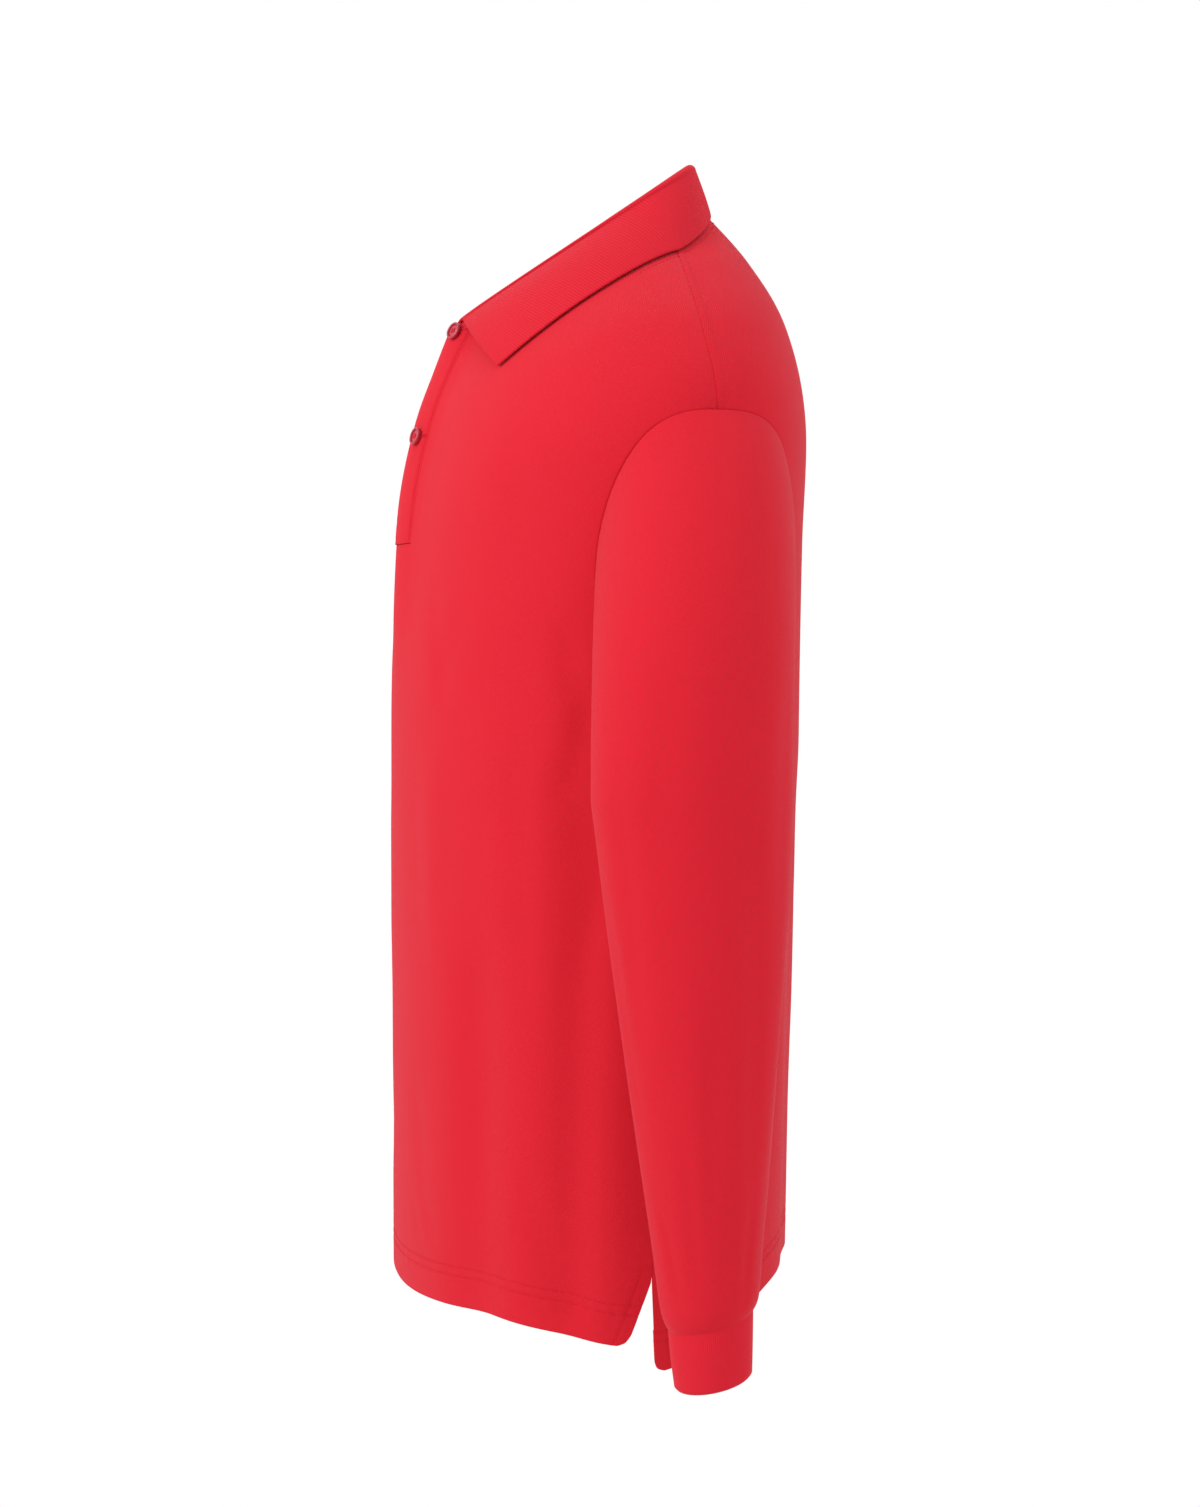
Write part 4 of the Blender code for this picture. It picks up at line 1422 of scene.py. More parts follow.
# ---- placket ----
@dataclass
class Placket:
    """The two bands at the front opening, the left one on top, with their stitches and buttonholes."""

    form: BodyForm
    panels: BodyPanels
    finishes: Finishes
    stitching: Stitching
    half_width: float = 0.0175
    proud: float = 0.0010  # height of the upper band over the panels
    slope: float = 0.0045  # over which the upper band comes down to its seam
    under_depth: float = 0.0021  # from the upper band's face to the under one's
    wall: float = 0.0012
    box_height: float = 0.0140
    seam_inset: float = 0.0022  # from the band's edge to its stitches
    rows_up: int = 90
    box_away: float = 0.006  # from the left row to the short one beside it
    in_groove: float = -0.00022
    button_x: float = 0.004
    button_heights: tuple[float, float] = (-0.0645, -0.1375)
    buttonhole_half: float = 0.0078
    buttonhole_x: float = 0.0070
    buttonhole_lip: float = 0.00085  # from its middle to the middle of the threads beside it
    threads: int = 26  # along one lip
    thread_length: float = 0.0016
    thread_size: float = 0.55
    end_bar: float = 0.0034
    end_away: float = 0.0004
    level_run: float = 0.065  # metres up the band for one level
    neck_run: float = 0.045  # the same beside the neck seam
    top_share: float = 0.998  # a band's width as a share of the slot's
    under_share: float = 0.985
    groove_width: float = 0.0008
    groove_depth: float = 0.0003
    flat: tuple[float, float] = (0.041, 0.160)

    def end_level(self) -> float:
        """Level of the placket's lower end."""
        return float(self.form.armhole_level(self.panels.placket_end_turn))

    def angle_at(self, x: Array, level: Array) -> Array:
        """Angle of places at distances from the centre front."""
        return np.sign(x) * self.form.placket_half_angle(level, np.abs(x))

    def across(self) -> Array:
        """Distances of the columns from the centre front, to the wearer's left."""
        inset = self.seam_inset
        near = np.concatenate((RIM_STEPS[:6], (inset - 0.0006, inset, inset + 0.0006, 0.0040)))
        half = self.half_width - near
        inner = np.linspace(0.0, half[-1], 7)[:-1]
        right = np.concatenate((inner, half[::-1]))
        return np.concatenate((-right[:0:-1], right))

    def height_at(self, x: Array) -> Array:
        """Height of the upper band over the panels; its free edge on the wearer's right stays up."""
        side = self.half_width - np.abs(x)
        lowest = np.where(x > 0, 0.0, 0.6)
        return self.proud * (lowest + (1 - lowest) * smooth_step(side / self.slope))

    def lay(self, under: bool) -> Laid:
        """Lay out a band.

        Args:
            under: the under band, or else the upper one.

        Returns:
            The laid-out grid.
        """
        form = self.form
        x = self.across() * (self.under_share if under else self.top_share)
        first = self.end_level() + 0.0004 / self.level_run
        levels = np.concatenate((
            first + RIM_STEPS[:6] / self.level_run,
            np.linspace(first + RIM_STEPS[6] / self.level_run, form.neck, self.rows_up),
        ))
        level = np.broadcast_to(levels[:, None], (len(levels), len(x)))
        side = self.half_width - np.abs(self.across()) + 0 * level
        up = (level - first) * self.level_run
        lines = (side - self.seam_inset, up - self.box_height, up - self.seam_inset)
        groove = sum(np.exp(-((away / self.groove_width) ** 2)) for away in lines)
        groove = np.clip(groove, 0, 1) * self.groove_depth
        height = self.proud - self.under_depth if under else self.height_at(x) - groove
        sharp = SEWN_SHARPNESS * np.where(x > 0, 1.0, 0.25)
        edge = np.minimum(side * sharp, up * SEWN_SHARPNESS / 2)
        edge = np.minimum(edge, (form.neck - level) * self.neck_run * SEWN_SHARPNESS)
        return Laid(form.point(self.angle_at(x, level), level, height), edge)

    def sew(self) -> None:
        """Rows along both long edges, and a box across the lower end."""
        top = self.form.neck - 0.05
        start = self.end_level() + self.seam_inset / self.level_run
        edge = self.half_width - self.seam_inset
        box_top = start + self.box_height / self.level_run
        for x, last in ((edge, top), (-edge, top), (edge - self.box_away, box_top)):
            self.row(np.full(120, x), np.linspace(start, last, 120))
        for height in (self.seam_inset, self.box_height):
            x = np.linspace(-edge, edge, 20)
            self.row(x, np.full(20, self.end_level() + height / self.level_run))

    def row(self, x: Array, level: Array) -> None:
        """Sew one row on the top band."""
        height = self.height_at(x) + self.in_groove
        self.stitching.sew("stitches_placket", self.angle_at(x, level), level, height)

    def level_of(self, height: float) -> float:
        """Level at which the centre front is at a height above the underarm."""
        levels = np.linspace(self.form.underarm, self.form.neck, 501)
        return float(np.interp(height, self.form.ring(levels).front_z, levels))

    def sew_buttonholes(self) -> None:
        """Close upright threads along both lips of each level buttonhole, and a bar at each of its ends."""
        half = self.buttonhole_half
        for height in self.button_heights:
            level = self.level_of(height)
            x = np.linspace(-half, half, self.threads) + self.buttonhole_x
            for lip in (self.buttonhole_lip, -self.buttonhole_lip):
                for place in x:
                    self.bar(place, level + lip / self.level_run, self.thread_length, self.thread_size)
            for end in (x[0] - self.end_away, x[-1] + self.end_away):
                self.bar(end, level, self.end_bar, 1.0)

    def bar(self, x: float, level: float, length: float, size: float) -> None:
        """One upright thread of a buttonhole."""
        places = np.full(2, x)
        levels = level + np.array((-0.5, 0.5)) * length / self.level_run
        self.stitching.sew("stitches_buttonholes", self.angle_at(places, levels), levels, self.proud, size)

    def make(self) -> list[bpy.types.Object]:
        """Build the two bands and sew the upper one."""
        pieces = []
        for name, under in (("placket_top", False), ("placket_under", True)):
            maker = ClothMaker(self.wall)
            laid = self.lay(under)
            piece = maker.make(f"{name}_band", laid, self.finishes.pique)
            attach(piece, "root")
            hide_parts(name)
            area = cloth_area(laid.points)
            min(area, self.flat[0] * self.flat[1])
            log.info("%s: %.4f square metres", name, area)
            pieces.append(piece)
        self.sew()
        self.sew_buttonholes()
        return pieces


# ---- sleeves and cuffs ----
@dataclass
class Sleeves:
    """Both sleeves and cuffs, the right ones mirrored from the left with creases of their own."""

    form: BodyForm
    finishes: Finishes
    wall: float = 0.0009
    columns: tuple[str, ...] = ("centre_x", "centre_y", "centre_z", "half_width", "half_depth", "tilt")
    rings: tuple[Row, ...] = (
        (0.2805, -0.0150, -0.380, 0.0590, 0.0615, 0.00),
        (0.2845, -0.0125, -0.456, 0.0545, 0.0550, 0.00),
        (0.2880, -0.0100, -0.560, 0.0450, 0.0440, 0.00),
        (0.2900, -0.0080, -0.640, 0.0360, 0.0345, 0.04),
        (0.2905, -0.0065, -0.680, 0.0325, 0.0300, 0.18),
        (0.2905, -0.0060, -0.692, 0.0285, 0.0258, 0.27),
    )
    leave: tuple[float, float] = (0.70, -0.72)  # x and z of the sleeve's direction at the armhole
    leave_forward: float = 0.25
    head_reach: tuple[float, float] = (0.010, 0.055)  # how long it is kept, inside and outside
    head_drop: tuple[float, float] = (0.025, 0.130)  # and how far up the arm's own one is
    cuff_rings: tuple[Row, ...] = (
        (0.2905, -0.0060, -0.6906, 0.0284, 0.0257, 0.27),
        (0.2905, -0.0052, -0.7120, 0.0280, 0.0246, 0.22),
        (0.2900, -0.0040, -0.7300, 0.0272, 0.0232, 0.24),
    )
    cuff_wall: float = 0.0020
    armhole_turn_in: float = 0.00070
    armhole_tuck: float = 0.0008  # how far the sleeve's edge lies under the panels' ones
    underarm_tuck: float = 0.0012
    underarm_turn_in: float = -0.0004  # at the underarm the sleeve's edge lies over the panels' ones
    armhole_turn_width: float = 0.0024
    cuff_turn_in: float = 0.00010
    seam_line: tuple[float, float] = (0.0005, 0.0012)  # depth and half width of the underarm seam
    crease_fade: float = 0.02  # distance from the underarm seam over which the creases begin
    around: int = 132
    head_rows: int = 34
    arm_rows: int = 84
    last_run: float = 0.014  # metres down the sleeve from its last ring but one to the last
    cuff_round: float = 0.172
    cuff_run: float = 0.037  # metres down the cuff
    cuff_rows: int = 16
    rib_pitch: float = 0.0013
    rib_height: float = 0.00003
    crease_radius: float = 0.055
    flat: tuple[float, float] = (0.44, 0.59)
    cuff_flat: tuple[float, float] = (0.173, 0.040)
    left_creases: Creases = Creases(
        rows=(
            # x is turn times crease_radius, 0.086 at the front, 0.173 on the outside, 0.259 at the back
            (0.118, -0.330, 0.112, -0.560, 0.0085, 0.0011),
            (0.150, -0.260, 0.138, -0.450, 0.0100, 0.0008),
            (0.190, -0.370, 0.200, -0.640, 0.0085, 0.0012),
            (0.222, -0.280, 0.214, -0.470, 0.0090, 0.0009),
            (0.168, -0.470, 0.160, -0.660, 0.0080, 0.0010),
            (0.090, -0.420, 0.100, -0.600, 0.0080, 0.0009),
            (0.245, -0.430, 0.236, -0.620, 0.0090, 0.0010),
            (0.140, -0.560, 0.146, -0.680, 0.0070, 0.0008),
            (0.110, -0.610, 0.124, -0.685, 0.0060, 0.0008),
            (0.205, -0.600, 0.196, -0.688, 0.0065, 0.0009),
            (0.300, -0.300, 0.262, -0.400, 0.0100, 0.0016),
            (0.330, -0.340, 0.290, -0.460, 0.0100, 0.0014),
            (0.040, -0.320, 0.066, -0.430, 0.0100, 0.0014),
            (0.020, -0.420, 0.052, -0.520, 0.0090, 0.0012),
        ),
        wrap=2 * pi * crease_radius,
    )
    right_creases: Creases = Creases(
        rows=(
            (0.112, -0.350, 0.120, -0.580, 0.0090, 0.0011),
            (0.156, -0.250, 0.146, -0.430, 0.0100, 0.0008),
            (0.184, -0.400, 0.196, -0.650, 0.0090, 0.0012),
            (0.228, -0.300, 0.218, -0.500, 0.0090, 0.0009),
            (0.172, -0.500, 0.158, -0.670, 0.0080, 0.0010),
            (0.094, -0.400, 0.102, -0.580, 0.0080, 0.0009),
            (0.250, -0.450, 0.238, -0.640, 0.0090, 0.0010),
            (0.134, -0.580, 0.142, -0.684, 0.0070, 0.0008),
            (0.116, -0.620, 0.128, -0.688, 0.0060, 0.0008),
            (0.210, -0.590, 0.200, -0.684, 0.0065, 0.0009),
            (0.306, -0.310, 0.268, -0.420, 0.0100, 0.0016),
            (0.324, -0.350, 0.286, -0.450, 0.0100, 0.0014),
            (0.036, -0.330, 0.062, -0.450, 0.0100, 0.0014),
        ),
        wrap=2 * pi * crease_radius,
    )

    def ring(self, row: Array, turn: Array) -> Array:
        """Point of a ring, from the side next to the body round the front."""
        ring = named(self.columns, row)
        x = ring.centre_x - ring.half_width * np.cos(turn)
        forward = -ring.half_depth * np.sin(turn)
        return np.stack((x, ring.centre_y + forward, ring.centre_z + ring.tilt * forward), axis=-1)

    def point(self, turn: Array, down: Array) -> Array:
        """Point of the left sleeve before creases.

        Args:
            turn: turn round the sleeve, from the underarm round the front.
            down: 0 at the armhole, 1 at the first ring and on to the last.

        Returns:
            The point.
        """
        outer = (1 - np.cos(turn)) / 2
        lead, drop = mix(*self.head_reach, outer), mix(*self.head_drop, outer)
        aside = np.where(np.sin(turn) > 0, self.leave_forward, 0.0)
        leave = np.stack(
            (np.full(turn.shape, self.leave[0]), -aside * np.sin(turn), np.full(turn.shape, self.leave[1])),
            axis=-1,
        )
        tuck = mix(self.armhole_tuck, self.underarm_tuck, smooth_step(1 - 2 * outer))
        start = self.form.armhole_point(turn) - leave * tuck[..., None]
        end = self.ring(through_rows(self.rings, np.zeros(turn.shape)), turn)
        handle_a = start + leave * lead[..., None]
        handle_b = end + np.array((0.0, 0.0, 1.0)) * drop[..., None]
        t = np.clip(down, 0.0, 1.0)[..., None]
        head = (
            start * (1 - t) ** 3
            + handle_a * 3 * t * (1 - t) ** 2
            + handle_b * 3 * t**2 * (1 - t)
            + end * t**3
        )
        arm = self.ring(through_rows(self.rings, np.maximum(down - 1, 0.0)), turn)
        return np.where((down <= 1)[..., None], head, arm)

    def turns(self) -> Array:
        """Turns of the columns, closer together beside the underarm seam."""
        near = np.array((0.0, 0.0006, 0.0012, 0.0022, 0.004)) / self.crease_radius
        between = np.linspace(near[-1], 2 * pi - near[-1], self.around)
        return np.concatenate((near[:-1], between, 2 * pi - near[-2::-1]))

    def lay(self, creases: Creases) -> Laid:
        """Lay out a left sleeve.

        Args:
            creases: its creases.

        Returns:
            The laid-out grid.
        """
        turn = self.turns()
        outer = (1 - np.cos(turn)) / 2
        last = len(self.rings) - 1
        start = RIM_STEPS[:, None] / (3 * mix(*self.head_reach, outer))[None]
        head = mix(start[-1:], 1.0, (np.arange(1, self.head_rows + 1) / self.head_rows)[:, None])
        tail = RIM_STEPS[:0:-1, None] / self.last_run
        arm = 1 + np.linspace(0, 1, self.arm_rows + 1)[1:, None] * (last - tail[0])
        end = 1 + last - np.concatenate((tail[1:], np.zeros((1, 1))))
        down = np.concatenate((start, head, arm + 0 * turn, end + 0 * turn))[::-1]
        turn = np.broadcast_to(turn, down.shape)
        points = self.point(turn, down)
        normal = ClothMaker.normals(points, True)
        from_seam = np.minimum(turn, 2 * pi - turn) * self.crease_radius
        seam_depth, seam_width = self.seam_line
        depth = creases.depth(turn * self.crease_radius, points[..., 2])
        depth = depth * smooth_step(from_seam / self.crease_fade)
        depth = depth + seam_depth * np.exp(-((from_seam / seam_width) ** 2))
        points = points - normal * depth[..., None]
        below = travelled(points)
        above = below[-1:] - below
        at_top = mix(self.armhole_turn_in, self.underarm_turn_in, smooth_step(1 - 2 * outer))
        turned_in = turning_in(below, self.cuff_turn_in) + turning_in(above, at_top, self.armhole_turn_width)
        return Laid(points, np.minimum(below, above) * SEWN_SHARPNESS, turned_in)

    def lay_cuff(self) -> tuple[Laid, Array]:
        """Lay out a left cuff, from its seam down to its fold.

        Returns:
            The laid-out grid and the height of its ribs.
        """
        around = round(self.cuff_round / self.rib_pitch) * 4
        turn = np.linspace(0, 2 * pi, around + 1)
        rim = RIM_STEPS / self.cuff_run
        down = np.concatenate((rim, np.linspace(rim[-1], 1.0, self.cuff_rows)[1:]))[::-1]
        grid = np.broadcast_to(turn, (len(down), len(turn)))
        level = np.broadcast_to(down[:, None] * (len(self.cuff_rings) - 1), grid.shape)
        points = self.ring(through_rows(self.cuff_rings, level), grid)
        below = travelled(points)
        above = below[-1:] - below
        ribs = self.rib_height * np.cos(np.arange(around + 1) * pi / 2) + 0 * below
        cloth = ClothMaker.unrolled(points)
        cloth[..., 0] = np.arange(around + 1) / 4 * self.rib_pitch
        edge = np.minimum(below, above * SEWN_SHARPNESS)
        return Laid(points, edge, turning_in(above, self.cuff_turn_in), cloth), ribs

    def make(self) -> list[bpy.types.Object]:
        """Build the four pieces."""
        pieces = []
        maker = ClothMaker(self.wall)
        cuff_maker = ClothMaker(self.cuff_wall)
        sides = (("left", False, self.left_creases), ("right", True, self.right_creases))
        for side, mirrored, creases in sides:
            laid = self.lay(creases)
            sleeve = maker.make(
                f"sleeve_{side}_cloth", laid, self.finishes.pique, closed=True, mirrored=mirrored,
            )
            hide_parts(f"sleeve_{side}")
            area = cloth_area(laid.points)
            min(area, self.flat[0] * self.flat[1])
            log.info("sleeve %s: %.3f square metres", side, area)
            cuff_laid, ribs = self.lay_cuff()
            cuff = cuff_maker.make(
                f"cuff_{side}_rib", cuff_laid, self.finishes.cuff, closed=True, mirrored=mirrored, ribs=ribs,
            )
            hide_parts(f"cuff_{side}")
            area = cloth_area(cuff_laid.points)
            log.info("cuff %s: %.4f square metres", side, area)
            pieces += [sleeve, cuff]
        for piece in pieces:
            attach(piece, "root")
        return pieces


# ---- collar ----
@dataclass
class Collar:
    """Flat-knit collar in one folded piece, stand inside and fall outside, and the neck tape's row."""

    form: BodyForm
    finishes: Finishes
    stitching: Stitching
    columns: tuple[str, ...] = (
        "seam_angle", "fold_angle", "edge_angle", "edge_level", "bulge", "fold_radius",
    )
    sections: tuple[Row, ...] = (
        (radians(180), radians(180), radians(180), 7.98, -0.0010, 0.0026),
        (radians(135), radians(135), radians(137), 7.78, 0.0015, 0.0026),
        (radians(92), radians(92), radians(97), 7.47, 0.0035, 0.0026),
        (radians(48), radians(48), radians(62), 6.95, 0.0055, 0.0022),
        (radians(2), radians(4.5), radians(33.2), 6.38, 0.0050, 0.0004),
    )
    tape_end: float = 0.64  # share of the collar's half over which the neck tape's stitches run
    tape_away: float = 0.0070  # how far they lie beyond the outer edge
    fold_back: tuple[float, float] = (0.0615, 0.0530)  # y and z of the fold line
    fold_front: tuple[float, float] = (-0.0985, -0.0560)
    fold_side: tuple[float, float] = (0.069, 0.015)  # x and y
    lift: float = 0.0012  # of the fall's edge over the panels
    tuck: float = 0.0008  # how far the neck seam's edge lies below the panels' edges
    tuck_in: float = 0.0005  # and inside their outer faces
    look_back: float = 0.05  # levels below the neckline that give the panels' slope there
    wall: float = 0.0018
    rib_pitch: float = 0.0013
    rib_height: float = 0.00005
    stand_run: float = 0.03  # metres up the stand
    fall_run: float = 0.06  # and down the fall
    length: float = 0.44  # of the strip unstretched, which sets the count of its ribs
    flat: tuple[float, float] = (0.59, 0.124)

    def fold_line(self, angle: Array) -> Array:
        """Point of the fold line, an oval in one slanting plane."""
        turn = np.cos(angle)
        side_x, side_y = self.fold_side
        end_y = np.where(turn >= 0, self.fold_front[0], self.fold_back[0])
        y = mix(side_y, end_y, np.abs(turn))
        slope = (self.fold_back[1] - self.fold_front[1]) / (self.fold_back[0] - self.fold_front[0])
        z = self.fold_back[1] - slope * (self.fold_back[0] - y)
        return np.stack((side_x * np.sin(angle), y, z), axis=-1)

    def section(self, along: Array) -> SimpleNamespace:
        """Section of the collar at each place along it."""
        section = named(self.columns, through_rows(self.sections, np.abs(along) * (len(self.sections) - 1)))
        facing = np.where(along < 0, -1.0, 1.0)
        for name in ("seam_angle", "fold_angle", "edge_angle"):
            setattr(section, name, getattr(section, name) * facing)
        return section

    def sew_tape(self) -> None:
        """Sew the neck tape's row round the back, just beyond the outer edge."""
        section = self.section(np.linspace(-self.tape_end, self.tape_end, 240))
        angle, level = section.edge_angle, section.edge_level
        level = level - self.tape_away / self.form.metres_per_level(angle, level)
        self.stitching.sew("stitches_back", angle, level, 0.00005)

    def point(self, along: Array, across: Array) -> Array:
        """Point of the collar's face on the hollow between stand and fall.

        Args:
            along: from -1 at the right front end to 1 at the left one.
            across: 0 at the neck seam, 1 at the fold, 2 past it, 3 at the outer edge.

        Returns:
            The point.
        """
        form = self.form
        section = self.section(along)
        neck = form.point(section.seam_angle, form.neck, -self.tuck_in)
        rise = unit(neck - form.point(section.seam_angle, form.neck - self.look_back))
        seam = neck - rise * self.tuck
        fold = self.fold_line(section.fold_angle)
        edge = form.point(section.edge_angle, section.edge_level, self.lift)
        out_x, out_y = np.sin(section.fold_angle), -np.cos(section.fold_angle)
        out = np.stack((out_x, out_y, np.zeros(np.shape(out_x))), axis=-1)
        up = np.array((0.0, 0.0, 1.0))
        t = np.clip(across, 0.0, 1.0)[..., None]
        radius = section.fold_radius[..., None]
        stand = mix(seam, fold - out * radius, t)
        bend = (np.clip(across, 1.0, 2.0) - 1) * pi
        bent = fold + (-out * np.cos(bend)[..., None] + up * np.sin(bend)[..., None]) * radius
        s = (np.clip(across, 2.0, 3.0) - 2)[..., None]
        normal = form.outward(section.edge_angle, section.edge_level)
        fall = mix(fold + out * radius, edge, s) + normal * (section.bulge[..., None] * 4 * s * (1 - s))
        return np.where((across <= 1)[..., None], stand, np.where((across <= 2)[..., None], bent, fall))

    def lay(self) -> tuple[Laid, Array]:
        """Lay out the collar.

        Returns:
            The laid-out grid and the height of its ribs.
        """
        half = round(self.length / 2 / self.rib_pitch) * 4
        share = np.linspace(0.0, 1.0, half + 1)
        tip = RIM_STEPS[1:4] / (self.length / 2)
        share = np.sort(np.concatenate((share, 1 - tip)))
        along = np.concatenate((-share[:0:-1], share))
        from_end = (1 - np.abs(along)) * self.length / 2
        rim = RIM_STEPS[:5] / self.fall_run
        across = np.concatenate((
            RIM_STEPS[:5] / self.stand_run,
            np.linspace(0.06, 1.0, 6),
            1 + np.linspace(0, 1, 8)[1:],
            2 + np.linspace(0, 1 - rim[-1], 16)[1:-1],
            3 - rim[::-1],
        ))
        grid = np.broadcast_to(along, (len(across), len(along)))
        level = np.broadcast_to(across[:, None], grid.shape)
        hollow = self.point(grid, level)
        points = hollow + ClothMaker.normals(hollow, False) * self.wall
        wide = travelled(points)
        edge = np.minimum(np.minimum(wide, wide[-1:] - wide), from_end)
        cloth = ClothMaker.unrolled(points)
        cloth[..., 0] = from_end
        ribs = self.rib_height * np.cos(2 * pi * from_end / self.rib_pitch) + 0 * wide
        return Laid(points, edge, cloth=cloth), ribs

    def make(self) -> list[bpy.types.Object]:
        """Build the collar."""
        laid, ribs = self.lay()
        piece = ClothMaker(self.wall).make("collar_knit", laid, self.finishes.rib, ribs=ribs)
        self.sew_tape()
        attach(piece, "root")
        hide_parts("collar")
        area = cloth_area(laid.points)
        min(area, self.flat[0] * self.flat[1])
        log.info("collar: %.4f square metres, %d faces", area, len(piece.data.polygons))
        return [piece]


# ---- buttons ----
@dataclass
class Buttons:
    """Four-hole buttons on the top placket, sewn on with thread."""

    form: BodyForm
    placket: Placket
    finishes: Finishes
    radius: float = 0.00625
    thick: float = 0.0030
    rim: float = 0.0016
    recess: float = 0.0009
    hole_radius: float = 0.00082
    hole_away: float = 0.00155
    steps: int = 64
    thread_radius: float = 0.00042
    strand_pitch: float = 0.000546
    strand_steps: int = 9
    strand_reach: float = 1.08  # place of a strand's ends as a share of hole_x
    strand_start: float = 0.0010  # below the face
    strand_rise: float = 0.0013
    above_band: float = 0.0003

    @property
    def hole_x(self) -> float:
        """How far a hole's middle is from the button's, along x and along y."""
        return self.hole_away / 1.414

    def outline(self) -> list[tuple[float, float]]:
        """Half section of a button, radius and height, from the middle of its face to that of its back."""
        inner = self.radius - self.rim
        middle = self.radius - self.rim / 2
        profile = [(0.0, self.thick - self.recess), (inner - 0.0006, self.thick - self.recess)]
        for turn in np.linspace(-0.75, 0.5, 9) * pi:
            rise = self.thick - self.rim / 2 + self.rim / 2 * cos(turn)
            profile.append((middle + self.rim / 2 * sin(turn), rise))
        profile += [(self.radius - 0.0001, self.thick * 0.35), (self.radius - 0.0009, 0.0), (0.0, 0.0)]
        return profile

    def disc(self) -> bmesh.types.BMesh:
        """Turned disc with its face up."""
        shape = bmesh.new()
        corners = [shape.verts.new((radius, 0.0, rise)) for radius, rise in self.outline()]
        edges = [shape.edges.new(pair) for pair in zip(corners, corners[1:])]
        bmesh.ops.spin(
            shape, geom=corners + edges, axis=(0, 0, 1), cent=(0, 0, 0), angle=2 * pi, steps=self.steps,
            use_merge=True, use_duplicate=False,
        )
        bmesh.ops.remove_doubles(shape, verts=shape.verts, dist=1e-6)
        bmesh.ops.recalc_face_normals(shape, faces=shape.faces)
        return shape

    def holes(self) -> bmesh.types.BMesh:
        """Four pins that stand where the holes are drilled."""
        shape = bmesh.new()
        for x, y in ((1, 1), (1, -1), (-1, 1), (-1, -1)):
            place = Matrix.Translation((x * self.hole_x, y * self.hole_x, self.thick / 2))
            bmesh.ops.create_cone(
                shape, cap_ends=True, segments=20, radius1=self.hole_radius, radius2=self.hole_radius,
                depth=self.thick * 1.4, matrix=place,
            )
        return shape

    def threads(self) -> bmesh.types.BMesh:
        """Two bundles of thread over the face, each from one hole to the next."""
        shape = bmesh.new()
        start = self.thick - self.recess - self.strand_start
        for y in (self.hole_x, -self.hole_x):
            for strand in (-self.strand_pitch, 0.0, self.strand_pitch):
                ring = None
                for turn in np.linspace(0, pi, self.strand_steps):
                    x = -cos(turn) * self.hole_x * self.strand_reach
                    z = start + sin(turn) ** 0.6 * self.strand_rise
                    made = bmesh.ops.create_circle(
                        shape, segments=8, radius=self.thread_radius,
                        matrix=Matrix.Rotation(pi / 2, 4, "Z")
                        @ Matrix.Translation((x, y + strand, z))
                        @ Matrix.Rotation(pi / 2 - (pi / 2 - turn) * 0.9, 4, "Y"),
                    )["verts"]
                    edges = list({edge for vert in made for edge in vert.link_edges})
                    if ring:
                        bmesh.ops.bridge_loops(shape, edges=ring + edges)
                    ring = edges
        bmesh.ops.recalc_face_normals(shape, faces=shape.faces)
        return shape

    def place(self, height: float) -> Matrix:
        """Where a button sits, its face along the placket's outward normal."""
        level = self.placket.level_of(height)
        angle = self.form.placket_half_angle(np.array(level), self.placket.button_x)
        normal = Vector(self.form.outward(angle, np.array(level)))
        base = Vector(self.form.point(angle, level, self.placket.proud + self.above_band))
        return Matrix.Translation(base) @ normal.to_track_quat("Z", "Y").to_matrix().to_4x4()

    def make(self) -> list[bpy.types.Object]:
        """Build both buttons and their threads."""
        pieces = []
        for name, height in zip(("button_upper", "button_lower"), self.placket.button_heights):
            place = self.place(height)
            disc = add_piece(f"{name}_disc", self.disc(), self.finishes.button)
            pins = add_piece(f"{name}_pins", self.holes(), self.finishes.button)
            drill = disc.modifiers.new("holes", "BOOLEAN")
            drill.operation = "DIFFERENCE"
            drill.solver = "EXACT"
            drill.object = pins
            drilled = bpy.data.meshes.new_from_object(
                disc.evaluated_get(bpy.context.evaluated_depsgraph_get())
            )
            disc.modifiers.clear()
            disc.data = drilled
            bpy.data.objects.remove(pins)
            drilled.transform(place)
            drilled.shade_smooth()
            drilled.set_sharp_from_angle(angle=radians(40))
            threads = self.threads()
            bmesh.ops.transform(threads, matrix=place, verts=threads.verts)
            sewn = add_piece(f"{name}_thread", threads, self.finishes.thread)
            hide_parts(name)
            for piece in (disc, sewn):
                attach(piece, "root")
                pieces.append(piece)
            log.info("%s: %d faces", name, len(drilled.polygons))
        return pieces


# ---- studio ----
@dataclass(frozen=True)
class AreaLight:
    """A soft box: where it stands, what it faces, its size in metres and its power in watts."""

    name: str
    stands: tuple[float, float, float]
    faces: tuple[float, float, float]
    size: float
    power: float

    def make(self) -> bpy.types.Object:
        """Hang the light."""
        data = bpy.data.lights.new(self.name, "AREA")
        data.shape = "DISK"
        data.size = self.size
        data.energy = self.power
        lamp = bpy.data.objects.new(self.name, data)
        bpy.context.scene.collection.objects.link(lamp)
        lamp.location = self.stands
        aim = Vector(self.faces) - Vector(self.stands)
        lamp.rotation_euler = aim.to_track_quat("-Z", "Y").to_euler()
        return lamp


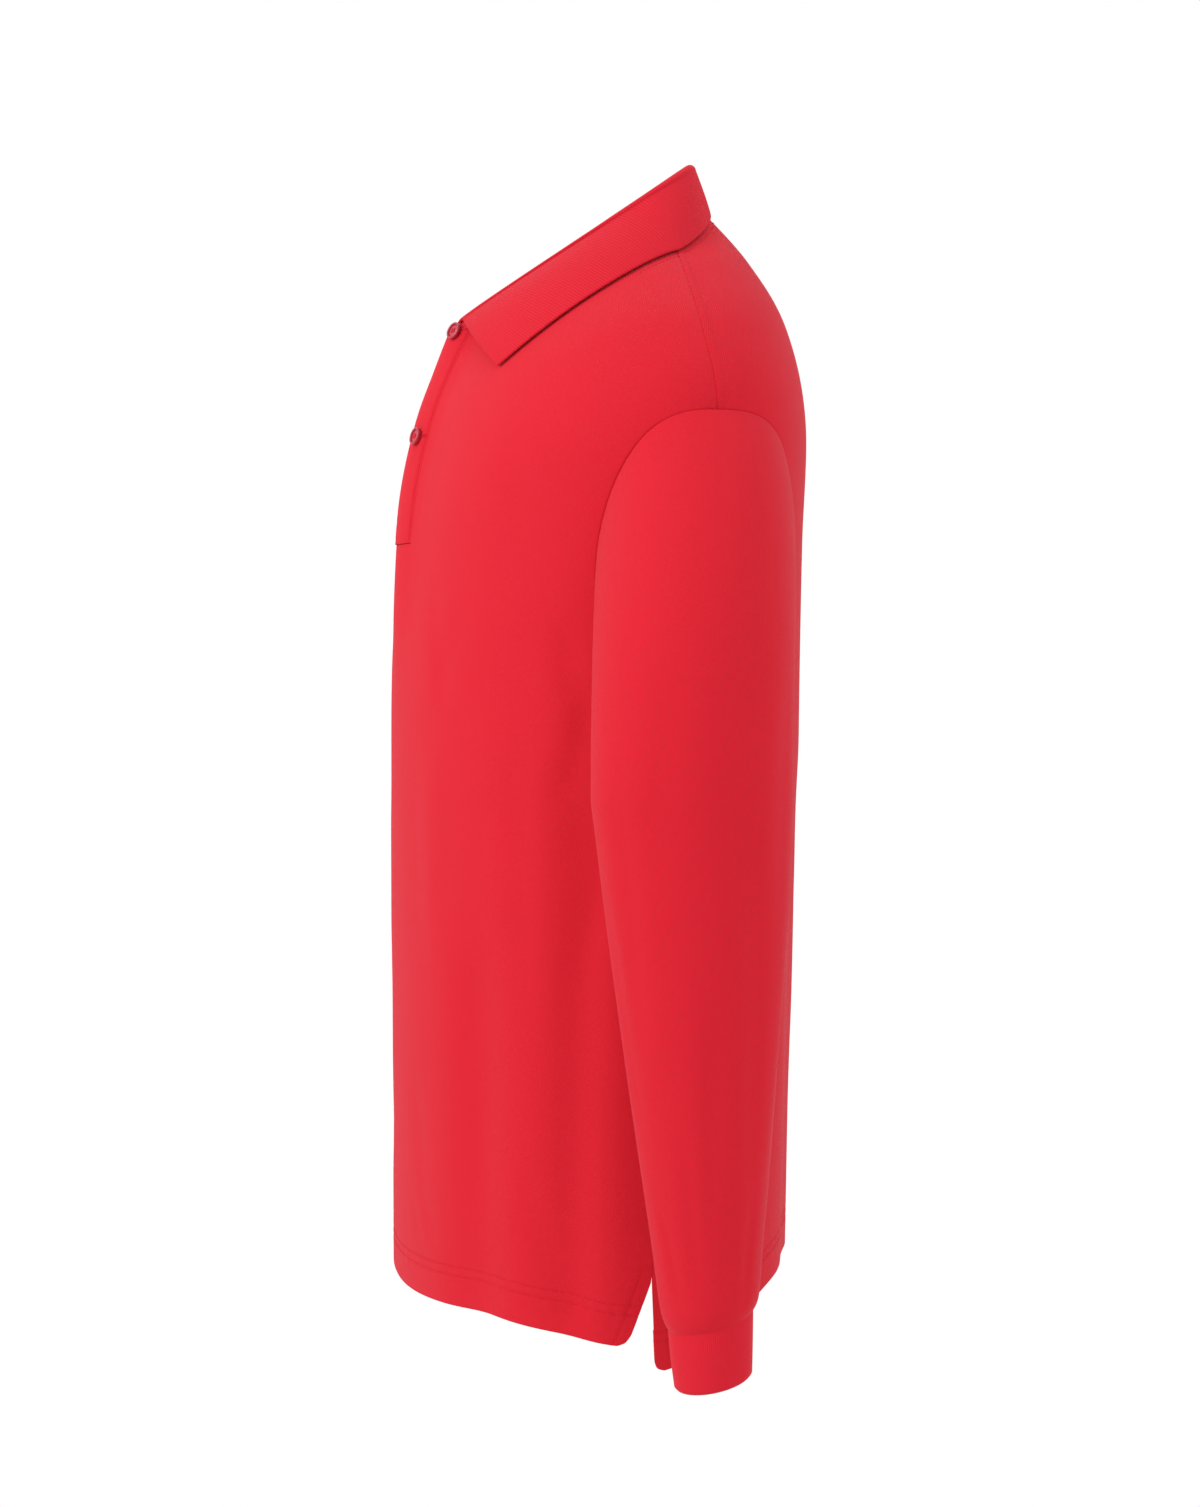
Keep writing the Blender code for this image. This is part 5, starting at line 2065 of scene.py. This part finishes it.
@dataclass(frozen=True)
class Studio:
    """White studio: camera at the wearer's left and a little to the front, soft light from upper front."""

    camera_place: tuple[float, float, float] = (1.839, -0.475, -0.307)
    heading: tuple[float, float] = (0.968, -0.250)  # x and y of the direction back to the camera
    pitch: float = radians(1.52)
    lens: float = 64.1
    floor_z: float = -1.45
    floor_radius: float = 1.55
    surround: float = 0.78
    backdrop: float = 1.0
    lights: tuple[AreaLight, ...] = (
        AreaLight("key", (0.4, -2.5, 1.1), (0.0, -0.05, -0.2), 1.6, 40.0),
        AreaLight("side_fill", (2.6, 0.5, 0.6), (0.2, 0.0, -0.2), 1.8, 6.0),
        AreaLight("back_fill", (0.8, 2.4, 1.2), (0.0, 0.0, -0.1), 1.6, 8.0),
    )

    def make(self) -> None:
        """Set up camera, floor, world and lights."""
        scene = bpy.context.scene
        data = bpy.data.cameras.new("camera")
        data.lens = self.lens
        data.sensor_width = 36.0
        camera = bpy.data.objects.new("camera", data)
        scene.collection.objects.link(camera)
        camera.location = self.camera_place
        aim = Vector((-self.heading[0], -self.heading[1], -tan(self.pitch)))
        camera.rotation_euler = aim.to_track_quat("-Z", "Y").to_euler()
        scene.camera = camera
        scene.view_settings.view_transform = "Standard"
        self.floor()
        self.world()
        for light in self.lights:
            light.make()

    def floor(self) -> None:
        """Plain pale floor where the wearer would stand."""
        material, shader = new_material("pale_floor")
        shader.inputs["Base Color"].default_value = (0.86, 0.86, 0.86, 1.0)
        shader.inputs["Roughness"].default_value = 0.9
        disc = bmesh.new()
        bmesh.ops.create_circle(
            disc, cap_ends=True, segments=96, radius=self.floor_radius,
            matrix=Matrix.Translation((0.0, 0.0, self.floor_z)),
        )
        add_piece("floor", disc, material)

    def world(self) -> None:
        """White surround, a little dimmer as light than as backdrop."""
        world = bpy.data.worlds.new("white_studio")
        world.use_nodes = True
        bpy.context.scene.world = world
        nodes, links = world.node_tree.nodes, world.node_tree.links
        background = nodes["Background"]
        path = nodes.new("ShaderNodeLightPath")
        level = nodes.new("ShaderNodeMapRange")
        level.inputs["To Min"].default_value = self.surround
        level.inputs["To Max"].default_value = self.backdrop
        links.new(path.outputs["Is Camera Ray"], level.inputs["Value"])
        links.new(level.outputs["Result"], background.inputs["Strength"])
        background.inputs["Color"].default_value = (1.0, 1.0, 1.0, 1.0)


def main() -> None:
    """Build the shirt and the studio."""
    logging.basicConfig(level=logging.INFO, format="%(message)s")
    Studio().make()
    form = BodyForm()
    finishes = make_finishes()
    stitching = Stitching(form, finishes.thread)
    panels = BodyPanels(form, finishes, stitching)
    placket = Placket(form, panels, finishes, stitching)
    for part in (panels, placket, Sleeves(form, finishes), Collar(form, finishes, stitching)):
        for piece in part.make():
            log.info("%s built", piece.name)
    for piece in Buttons(form, placket, finishes).make() + stitching.make():
        log.info("%s built", piece.name)


if __name__ == "__main__":
    main()
